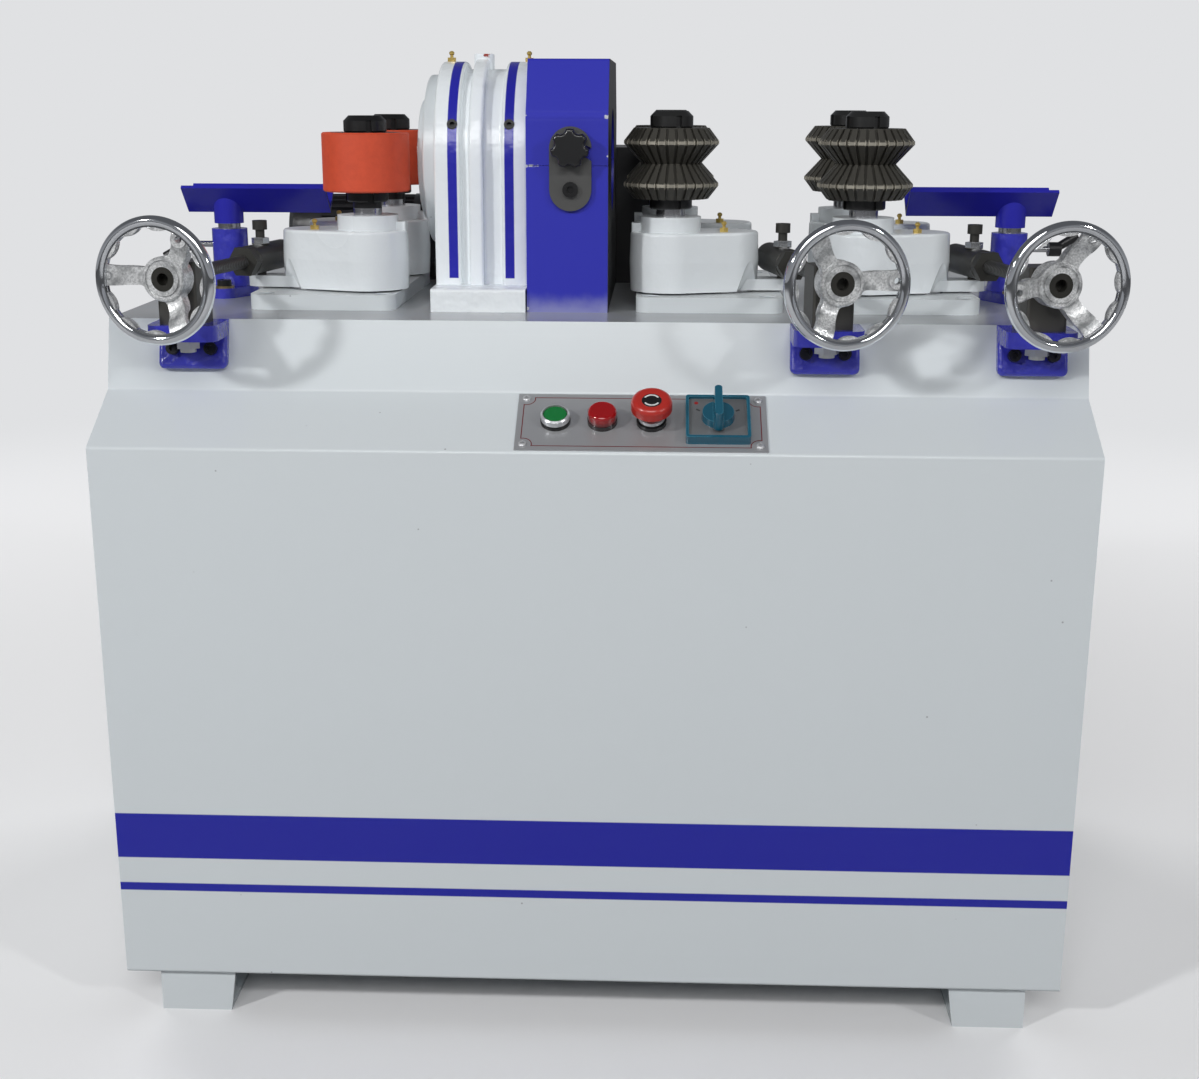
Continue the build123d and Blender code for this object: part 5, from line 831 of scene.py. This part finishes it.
def collar_finish():
    """Satin chrome rings on black bases; the lamp's base is smoky."""
    material, w, place = metal(
        "button collar satin chrome", CHROME, STEEL, rough=(0.28, 0.38), metallic=0.6
    )
    across, _, out = on_panel(w, place, selector_middle)
    lamp = middle_of("pilot_lens").x - selector_middle.x
    stop = middle_of("stop_button").x - selector_middle.x
    stop_from, stop_to = [stop - side for side in STOP_SIDE]
    base_height = w.between(across, stop_from, stop_to, START_BASE, STOP_BASE)
    base = w.math("LESS_THAN", out, base_height)
    overlay(material, w, base, BLACK_PLASTIC, roughness=0.32, metallic=0.0)
    lamp_base = w.band(across, lamp - COLLAR_RADIUS, lamp + COLLAR_RADIUS)
    overlay(material, w, lamp_base, SMOKY, roughness=0.2, metallic=0.0)
    return material


def lens_finish():
    """Red lens, clear above and dark in the skirt."""
    material, w, place = moulded(
        "pilot lamp red lens", RED_LENS, STOP_RED, rough=(0.06, 0.12), coat=0.6
    )
    out = on_panel(w, place, selector_middle)[2]
    overlay(material, w, w.between(out, *LENS_SKIRT), RED_LENS_DARK)
    return material


def dial_finish():
    """Grey dial under the selector: three ticks and a red dot."""
    material, w, place = metal(
        "selector dial grey", DIAL_GREY, STEEL_DARK, rough=(0.3, 0.4), metallic=0.4
    )
    across, up, _ = on_panel(w, place, selector_middle)
    turn = w.math("ARCTAN2", across, up)
    ring = w.band(w.reach(across, up), *DIAL_TICKS, soft=0.0001)
    for tick in DIAL_TURNS:
        tick_from = radians(tick) - DIAL_TICK_HALF
        tick_to = radians(tick) + DIAL_TICK_HALF
        line = w.band(turn, tick_from, tick_to, soft=0.004)
        overlay(material, w, w.times(line, ring), DIAL_MARK, metallic=0.0)
    from_dot = w.reach(w.minus(across, DIAL_DOT[0]), w.minus(up, DIAL_DOT[1]))
    dot = w.below(from_dot, DIAL_DOT_RADIUS, soft=0.0001)
    overlay(material, w, dot, DIAL_RED, metallic=0.0)
    return material


# Plain finishes

cast_white = cast_painted("arm white cast paint", CAST_WHITE, wear=0.18, lump=0.7, grain=0.3)[0]
cast_blue = cast_painted(
    "bracket blue cast paint", BLUE_CAST, BLUE_CHIP, wear=0.36, lump=2.2, grain=1.6
)[0]
plain_white = sprayed("plain white paint", WHITE, dust=0, nibs=0.05)[0]
base_white = sprayed(
    "base plate white paint", WHITE, wear=0.3, dust=0.2, rough=(0.3, 0.4), nibs=0.1
)[0]
black_sheet = sprayed(
    "black sheet paint", BLACK_PAINT, STEEL_DARK, wear=0.25, rough=(0.4, 0.5)
)[0]
motor_black = cast_painted(
    "motor black paint", BLACK_PAINT, STEEL_DARK, wear=0.2, lump=0.4, grain=0.6
)[0]
bright_zinc = metal("bright zinc", ZINC, STEEL, rough=(0.36, 0.48), metallic=0.5)[0]
plain_steel = metal("machined steel", STEEL, STEEL_DARK, rough=(0.2, 0.34), fine=1.0)[0]
pulley_iron = metal("pulley cast iron", STEEL_DARK, OXIDE, rough=(0.4, 0.55))[0]
latch_steel = metal(
    "latch plate steel", LATCH, LATCH_DULL, rough=(0.36, 0.48), wear=0.3, metallic=0.5
)[0]
brass = metal("grease nipple brass", BRASS, BRASS_DULL, rough=(0.26, 0.38), metallic=0.5)[0]
cast_mark = metal("casting mark aluminium", CAST_ALUMINIUM, CAST_SHADOW, rough=(0.3, 0.42))[0]
belt_rubber = moulded("belt rubber", BELT, OXIDE_BRIGHT, rough=(0.6, 0.75), peel=3.0)[0]
knob_plastic = moulded(
    "star knob black plastic", BLACK_PLASTIC, OXIDE_BRIGHT, rough=(0.26, 0.36), coat=0.2
)[0]
green_plastic = moulded("start button green", GREEN, GREEN_DARK, rough=(0.22, 0.3), coat=0.3)[0]
stop_plastic = moulded("stop button red", STOP_RED, ORANGE, rough=(0.26, 0.34), coat=0.3)[0]
# The teal plastic's lighter edges are a painted highlight.
teal_plastic = moulded("selector teal plastic", TEAL, TEAL_EDGE_HIGHLIGHT, rough=(0.1, 0.16), coat=0.5)[0]
disc_black = moulded("stop disc black", BLACK_PLASTIC, SMOKY)[0]
arc_pale = moulded("stop arc pale", PALE_MARK, WHITE)[0]


def dress(material, *nodes):
    """Gives a solid node its finish."""
    for node in nodes:
        mesh = frame["nodes"][node].data
        mesh.materials.clear()
        mesh.materials.append(material)


dress(cabinet_paint(), "cabinet")
dress(table_paint(), "table_plate")
dress(plain_white, "rear_cover", "outlet_cap")
dress(base_white, "arm_base_plates")
dress(housing_paint(), "spindle_housing")
dress(guard_paint(), "guard_base", "guard_cover")
dress(black_sheet, "chip_chute")
dress(cast_blue, "wheel_brackets", "trough_columns")
dress(motor_black, "main_motor", "feed_gearmotor")
dress(cap_screw_finish(), "cap_screws")
dress(plain_steel, "pivot_posts", "spindle_bearings", "hollow_spindle", "cutterhead")
dress(pulley_iron, "motor_pulley", "spindle_pulley")
dress(belt_rubber, "drive_belts")
dress(latch_steel, "latch_plate")
dress(knob_plastic, "star_knob")
dress(green_plastic, "start_button")
dress(stop_plastic, "stop_button")
dress(lens_finish(), "pilot_lens")
dress(teal_plastic, "selector_frame", "selector_knob")
dress(collar_finish(), "button_collars")
dress(plate_finish(), "control_plate")
for hand in ("left", "right"):
    dress(trough_paint(f"trough_{hand}"), f"trough_{hand}")
    clamp_lever = f"clamp_lever_{hand}"
    dress(clamp_finish(clamp_lever, f"clamp_{hand}_turn"), clamp_lever)
block_steel = block_finish()
tube_black = tube_finish()
for station in stations:
    dress(wheel_finish(station), f"{station}_handwheel")
    dress(screw_finish(station), f"{station}_screw")
    dress(block_steel, f"{station}_swivel_block")
    dress(tube_black, f"{station}_spring_tube")
    dress(cast_white, *[f"{station}_arm_{depth}" for depth in depths])
toothed = roller_finish()
spindle_black = spindle_finish()
orange_rubber = rubber_finish()
for depth in depths:
    dress(orange_rubber, f"outfeed_roller_{depth}")
    dress(spindle_black, f"outfeed_spindle_{depth}")
    dress(toothed, *[f"{station}_roller_{depth}" for station in toothed_stations])


# Small pieces

MERGE_DISTANCE = 1e-6
SHARP_ANGLE = radians(35)


def add_piece(name, bm, material, body):
    """Makes an object of a bmesh, at the origin, riding on a body."""
    bmesh.ops.remove_doubles(bm, verts=bm.verts, dist=MERGE_DISTANCE)
    bmesh.ops.recalc_face_normals(bm, faces=bm.faces)
    mesh = bpy.data.meshes.new(name)
    bm.to_mesh(mesh)
    bm.free()
    mesh.materials.append(material)
    mesh.shade_smooth()
    mesh.set_sharp_from_angle(angle=SHARP_ANGLE)
    piece = bpy.data.objects.new(name, mesh)
    scene.collection.objects.link(piece)
    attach(piece, body)


def stand_on(origin, out):
    """A matrix that takes +Z to the direction out and the origin to the place."""
    upright = Vector(out).to_track_quat("Z", "Y").to_matrix().to_4x4()
    return Matrix.Translation(origin) @ upright


def on_panel_matrix(middle):
    """A matrix that takes X across, Y up and Z out of the control panel."""
    return Matrix.Translation(middle) @ Matrix.Rotation(panel_tilt, 4, "X")


def turn_profile(profile, segments=24, sweep=2 * pi):
    """Turns (radius, height) points about Z."""
    bm = bmesh.new()
    corners = [bm.verts.new((radius, 0.0, height)) for radius, height in profile]
    edges = [bm.edges.new(pair) for pair in zip(corners, corners[1:])]
    whole = sweep == 2 * pi
    bmesh.ops.spin(
        bm,
        geom=corners + edges,
        cent=(0, 0, 0),
        axis=(0, 0, 1),
        angle=sweep,
        steps=segments,
        use_merge=whole,
    )
    bmesh.ops.remove_doubles(bm, verts=bm.verts, dist=MERGE_DISTANCE)
    return bm


NIPPLE_PROFILE = (
    (0.0, 0.0),
    (0.0038, 0.0),
    (0.0038, 0.0014),
    (0.0019, 0.0022),
    (0.0017, 0.0072),
    (0.0029, 0.0086),
    (0.0029, 0.0103),
    (0.0014, 0.0118),
    (0.0, 0.0118),
)
NIPPLE_HEX = 0.005
NIPPLE_FOOT = 0.0048
NIPPLE_SUNK = 0.0005


def grease_nipple(name, origin, body):
    """Hexagon foot, neck and ball, in brass."""
    bm = turn_profile(NIPPLE_PROFILE, segments=16)
    foot = bmesh.ops.create_cone(
        bm, cap_ends=True, segments=6, radius1=NIPPLE_HEX, radius2=NIPPLE_HEX, depth=NIPPLE_FOOT
    )
    bmesh.ops.translate(bm, verts=foot["verts"], vec=(0, 0, NIPPLE_FOOT / 2))
    bmesh.ops.translate(bm, verts=bm.verts, vec=Vector(origin) - Vector((0, 0, NIPPLE_SUNK)))
    add_piece(name, bm, brass, body)


# Pan head, as shares of its radius
PAN_PROFILE = ((1.0, 0.0), (0.96, 0.3), (0.72, 0.52))
PAN_RIM = 0.5
CROSS_HALF = 0.13
CROSS_REACH = 0.52
CROSS_TOP = 0.56
CROSS_DEPTH = 0.4


def cross_screw(name, origin, out, radius):
    """Pan head with a cross recess."""
    bm = turn_profile([(radius * away, radius * rise) for away, rise in PAN_PROFILE])
    rim = [edge for edge in bm.edges if all(vert.co.z > radius * PAN_RIM for vert in edge.verts)]
    wide = radius * CROSS_HALF
    reach = radius * CROSS_REACH
    outline = []
    for quarter in range(4):
        turn = Matrix.Rotation(quarter * pi / 2, 3, "Z")
        for point in ((reach, -wide), (reach, wide), (wide, wide)):
            outline.append(bm.verts.new(turn @ Vector((*point, radius * CROSS_TOP))))
    cross = [bm.edges.new(pair) for pair in zip(outline, outline[1:] + outline[:1])]
    bmesh.ops.triangle_fill(bm, use_beauty=True, use_dissolve=False, edges=rim + cross)
    sides = bmesh.ops.extrude_edge_only(bm, edges=cross)["geom"]
    deep = {item for item in sides if isinstance(item, bmesh.types.BMVert)}
    bmesh.ops.translate(bm, verts=list(deep), vec=(0, 0, -radius * CROSS_DEPTH))
    side_edges = [item for item in sides if isinstance(item, bmesh.types.BMEdge)]
    deep_edges = [edge for edge in side_edges if set(edge.verts) <= deep]
    bmesh.ops.triangle_fill(bm, use_beauty=True, use_dissolve=False, edges=deep_edges)
    bmesh.ops.transform(bm, verts=bm.verts, matrix=stand_on(origin, out))
    add_piece(name, bm, bright_zinc, "frame")


HOUSING_NIPPLES = (-0.168, -0.0815)
for number, nipple_x in enumerate(HOUSING_NIPPLES, 1):
    grease_nipple(f"housing_nipple_{number}", (nipple_x, 0.0, HOUSING_RING_TOP), "frame")

ARM_NIPPLE = (0.058, 0.018)
for station in stations:
    for depth in depths:
        swing_x, swing_y = joints[f"{station}_{depth}_arm_swing"]["pos_m"][:2]
        roller_x = joints[f"{station}_{depth}_roller_spin"]["pos_m"][0]
        side = 1 if swing_x > roller_x else -1
        nipple_place = (roller_x + side * ARM_NIPPLE[0], swing_y - ARM_NIPPLE[1], arm_top)
        grease_nipple(f"{station}_{depth}_arm_nipple", nipple_place, f"{station}_{depth}_arm")

PLATE_SCREW = 0.0042
plate_corners = [(across, up) for across in (-1, 1) for up in (-1, 1)]
for number, (across, up) in enumerate(plate_corners, 1):
    screw_across = across * (PLATE_HALF[0] - PLATE_SCREW_INSET)
    screw_up = up * (PLATE_HALF[1] - PLATE_SCREW_INSET)
    screw_place = panel_point(plate_middle, screw_across, screw_up, PLATE_HALF_THICK)
    cross_screw(f"plate_screw_{number}", screw_place, panel_out, PLATE_SCREW)

COVER_SCREW = 0.005
COVER_SCREW_INSET = 0.011
cover_low, cover_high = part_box("rear_cover")
cover_width = cover_high.x - cover_low.x - 2 * COVER_SCREW_INSET
cover_height = cover_high.z - cover_low.z - 2 * COVER_SCREW_INSET
cover_shares = [(across, up) for across in (0.0, 0.5, 1.0) for up in (0.0, 1.0)]
for number, (across, up) in enumerate(cover_shares, 1):
    screw_x = cover_low.x + COVER_SCREW_INSET + across * cover_width
    screw_z = cover_low.z + COVER_SCREW_INSET + up * cover_height
    screw_place = (screw_x, cover_high.y, screw_z)
    cross_screw(f"cover_screw_{number}", screw_place, (0, 1, 0), COVER_SCREW)

# Stop button's disc with two arcs, which ride on its flat top

STOP_DISC = 0.0098
STOP_DISC_THICK = 0.0004
STOP_DISC_SUNK = 0.0002
STOP_ARC = (0.0068, 0.0084)
STOP_ARC_RISE = (0.0002, 0.0007)
STOP_ARC_SWEEP = radians(118)
STOP_ARC_TURNS = (90, 270)
stop_vertices = frame["nodes"]["stop_button"].data.vertices
stop_high = max(vert.co.dot(panel_out) for vert in stop_vertices)
stop_middle = middle_of("stop_button")
stop_top = stop_middle + panel_out * (stop_high - stop_middle.dot(panel_out))
disc_profile = [
    (0.0, -STOP_DISC_SUNK),
    (STOP_DISC, -STOP_DISC_SUNK),
    (STOP_DISC, STOP_DISC_THICK / 2),
    (STOP_DISC - STOP_DISC_THICK / 2, STOP_DISC_THICK),
    (0.0, STOP_DISC_THICK),
]
bm = turn_profile(disc_profile, segments=48)
bmesh.ops.transform(bm, verts=bm.verts, matrix=on_panel_matrix(stop_top))
add_piece("stop_disc", bm, disc_black, "stop_button")
inner, outer = STOP_ARC
foot, top = STOP_ARC_RISE
arc_profile = [(inner, foot), (outer, foot), (outer, top), (inner, top), (inner, foot)]
for number, middle in enumerate(STOP_ARC_TURNS, 1):
    bm = turn_profile(arc_profile, segments=20, sweep=STOP_ARC_SWEEP)
    ends = [edge for edge in bm.edges if edge.is_boundary]
    bmesh.ops.holes_fill(bm, edges=ends, sides=4)
    begin = Matrix.Rotation(radians(middle) - STOP_ARC_SWEEP / 2, 4, "Z")
    bmesh.ops.transform(bm, verts=bm.verts, matrix=on_panel_matrix(stop_top) @ begin)
    add_piece(f"stop_arc_{number}", bm, arc_pale, "stop_button")

# Selector dial: a thin plate in the frame's recess, with a hole for the shaft

DIAL_HALF = 0.0288
DIAL_CORNER = 0.002
DIAL_HOLE = 0.008
DIAL_THICK = 0.0002
bm = bmesh.new()
square = bmesh.ops.create_grid(bm, x_segments=1, y_segments=1, size=DIAL_HALF)["verts"]
bmesh.ops.bevel(
    bm, geom=square, affect="VERTICES", offset=DIAL_CORNER, segments=4, profile=0.5, material=-1
)
bmesh.ops.delete(bm, geom=list(bm.faces), context="FACES_ONLY")
bmesh.ops.create_circle(bm, cap_ends=False, segments=24, radius=DIAL_HOLE)
bmesh.ops.bridge_loops(bm, edges=list(bm.edges))
bmesh.ops.recalc_face_normals(bm, faces=bm.faces)
bmesh.ops.solidify(bm, geom=list(bm.faces), thickness=DIAL_THICK)
dial_low = min(vert.co.z for vert in bm.verts)
bmesh.ops.translate(bm, verts=bm.verts, vec=(0, 0, DIAL_RECESS - dial_low))
bmesh.ops.transform(bm, verts=bm.verts, matrix=on_panel_matrix(selector_middle))
add_piece("selector_dial", bm, dial_finish(), "frame")

# Casting marks: a small raised ring near the end of one spoke of each wheel

MARK_TURNS = {"outfeed": 175.0, "infeed_inner": 245.0, "infeed_outer": 65.0}
MARK_RADIUS = 0.050
MARK_RISE = 0.0004
MARK_LEAN = radians(19.5)
MARK_PROFILE = (
    (0.0026, -0.0012),
    (0.0026, 0.0004),
    (0.0030, 0.0008),
    (0.0038, 0.0008),
    (0.0042, 0.0004),
    (0.0042, -0.0012),
)
for station in stations:
    turn = joints[f"{station}_wheel_turn"]
    inward = Vector(turn["axis"])
    outward = -inward
    sideways = Vector((inward.y, -inward.x, 0.0))
    spoke_turn = radians(MARK_TURNS[station])
    along_spoke = sideways * cos(spoke_turn) + Vector((0, 0, 1)) * sin(spoke_turn)
    rim_middle = Vector(turn["pos_m"]) + outward * RIM_OUT
    mark_place = rim_middle + along_spoke * MARK_RADIUS + outward * MARK_RISE
    mark_out = outward * cos(MARK_LEAN) - along_spoke * sin(MARK_LEAN)
    bm = turn_profile(MARK_PROFILE)
    bmesh.ops.transform(bm, verts=bm.verts, matrix=stand_on(mark_place, mark_out))
    add_piece(f"{station}_casting_mark", bm, cast_mark, f"{station}_wheel")


# Stage: the camera sees a pale floor that fades into the backdrop. Shiny parts mirror a darker
# floor and surround, and the floor throws back less light than its colour suggests.

FLOOR_HALF = 40.0
FLOOR_FADE = (1.3, 3.6)
AROUND_STRENGTH = 0.2
MIRRORED_RISE = (0.0, 0.6)
bm = bmesh.new()
bmesh.ops.create_grid(bm, x_segments=1, y_segments=1, size=FLOOR_HALF)
floor_mesh = bpy.data.meshes.new("floor")
bm.to_mesh(floor_mesh)
bm.free()
floor_material, w, sockets = new_finish("pale floor", Roughness=0.75)
floor_nodes = floor_material.node_tree.nodes
x, y, _ = w.axes(w.place())
rays = w.add("LightPath").outputs
in_mirror = w.larger(rays["Is Glossy Ray"], rays["Is Transmission Ray"])
floor_tone = w.blend(in_mirror, FLOOR_AROUND, FLOOR_MIRRORED)
w.plug(sockets["Base Color"], w.blend(rays["Is Camera Ray"], floor_tone, FLOOR))
far = w.times(w.between(w.reach(x, y), *FLOOR_FADE, smooth=True), rays["Is Camera Ray"])
glow = w.add("Emission", Color=BACKDROP, Strength=1.0)
choice = w.add("MixShader")
w.plug(choice.inputs[0], far)
w.plug(choice.inputs[1], floor_nodes["Principled BSDF"].outputs[0])
w.plug(choice.inputs[2], glow.outputs[0])
w.plug(floor_nodes["Material Output"].inputs["Surface"], choice.outputs[0])
floor_mesh.materials.append(floor_material)
floor = bpy.data.objects.new("floor", floor_mesh)
scene.collection.objects.link(floor)

world = bpy.data.worlds.new("studio")
scene.world = world
world.use_nodes = True
w = Wiring(world.node_tree)
rays = w.add("LightPath").outputs
height = w.axes(w.add("TexCoord").outputs["Generated"])[2]
rise = w.between(height, *MIRRORED_RISE, smooth=True)
mirrored_tone = w.blend(rise, MIRRORED_LOW, MIRRORED_HIGH)
around = world.node_tree.nodes["Background"]
around.inputs["Color"].default_value = BACKDROP
around.inputs["Strength"].default_value = AROUND_STRENGTH
behind_tone = w.blend(rays["Is Glossy Ray"], BACKDROP, mirrored_tone)
behind = w.add("Background", Color=behind_tone, Strength=1.0)
in_mirror = w.larger(rays["Is Glossy Ray"], rays["Is Transmission Ray"])
choice = w.add("MixShader")
w.plug(choice.inputs[0], w.larger(rays["Is Camera Ray"], in_mirror))
w.plug(choice.inputs[1], around.outputs[0])
w.plug(choice.inputs[2], behind.outputs[0])
w.plug(world.node_tree.nodes["World Output"].inputs["Surface"], choice.outputs[0])


def soft_box(name, place, target, size, watts, mirrored=True):
    """A rectangular lamp that faces a target; shiny parts can be kept from showing it."""
    lamp = bpy.data.lights.new(name, "AREA")
    lamp.shape = "RECTANGLE"
    lamp.size, lamp.size_y = size
    lamp.energy = watts
    holder = bpy.data.objects.new(name, lamp)
    facing = (Vector(target) - Vector(place)).to_track_quat("-Z", "Y").to_matrix().to_4x4()
    holder.matrix_world = Matrix.Translation(place) @ facing
    holder.visible_glossy = mirrored
    scene.collection.objects.link(holder)


FRONT_TARGET = (0, -0.1, 0.6)
BACK_TARGET = (0, 0.1, 0.6)
SMALL_BOX = (0.3, 0.3)
FRONT_BOX = (2.8, 1.5)
BACK_BOX = (2.4, 1.6)
BACK_WATTS = 100
soft_box("left soft box", (-3.1, -3.0, 2.7), FRONT_TARGET, SMALL_BOX, watts=76)
soft_box("right soft box", (3.4, -3.0, 2.7), FRONT_TARGET, SMALL_BOX, watts=40)
soft_box("front soft box", (-0.1, -4.4, 3.5), FRONT_TARGET, FRONT_BOX, watts=96)
soft_box("back left soft box", (-3.0, 3.4, 2.2), BACK_TARGET, BACK_BOX, BACK_WATTS, mirrored=False)
soft_box("back right soft box", (3.0, 3.4, 2.2), BACK_TARGET, BACK_BOX, BACK_WATTS, mirrored=False)

# Camera: at the operator's eye, a little right of the middle, looking down on the table

CAMERA_PLACE = Vector((0.0678, -1.8891, 0.9616))
CAMERA_YAW = 0.0369
CAMERA_PITCH = 0.2626
CAMERA_ROLL = -0.0033
SENSOR = 36.0
IMAGE_WIDTH = 1199
FOCUS_PIXELS = 1636.15
flat = cos(CAMERA_PITCH)
forward = Vector((-sin(CAMERA_YAW) * flat, cos(CAMERA_YAW) * flat, -sin(CAMERA_PITCH)))
level = Vector((cos(CAMERA_YAW), sin(CAMERA_YAW), 0.0))
below = forward.cross(level)
right = cos(CAMERA_ROLL) * level + sin(CAMERA_ROLL) * below
down = cos(CAMERA_ROLL) * below - sin(CAMERA_ROLL) * level
camera_data = bpy.data.cameras.new("camera")
camera_data.sensor_fit = "HORIZONTAL"
camera_data.sensor_width = SENSOR
camera_data.lens = FOCUS_PIXELS / IMAGE_WIDTH * SENSOR
camera = bpy.data.objects.new("camera", camera_data)
basis = Matrix((right, -down, -forward)).transposed().to_4x4()
camera.matrix_world = Matrix.Translation(CAMERA_PLACE) @ basis
scene.collection.objects.link(camera)
scene.camera = camera

scene.view_settings.view_transform = "Standard"
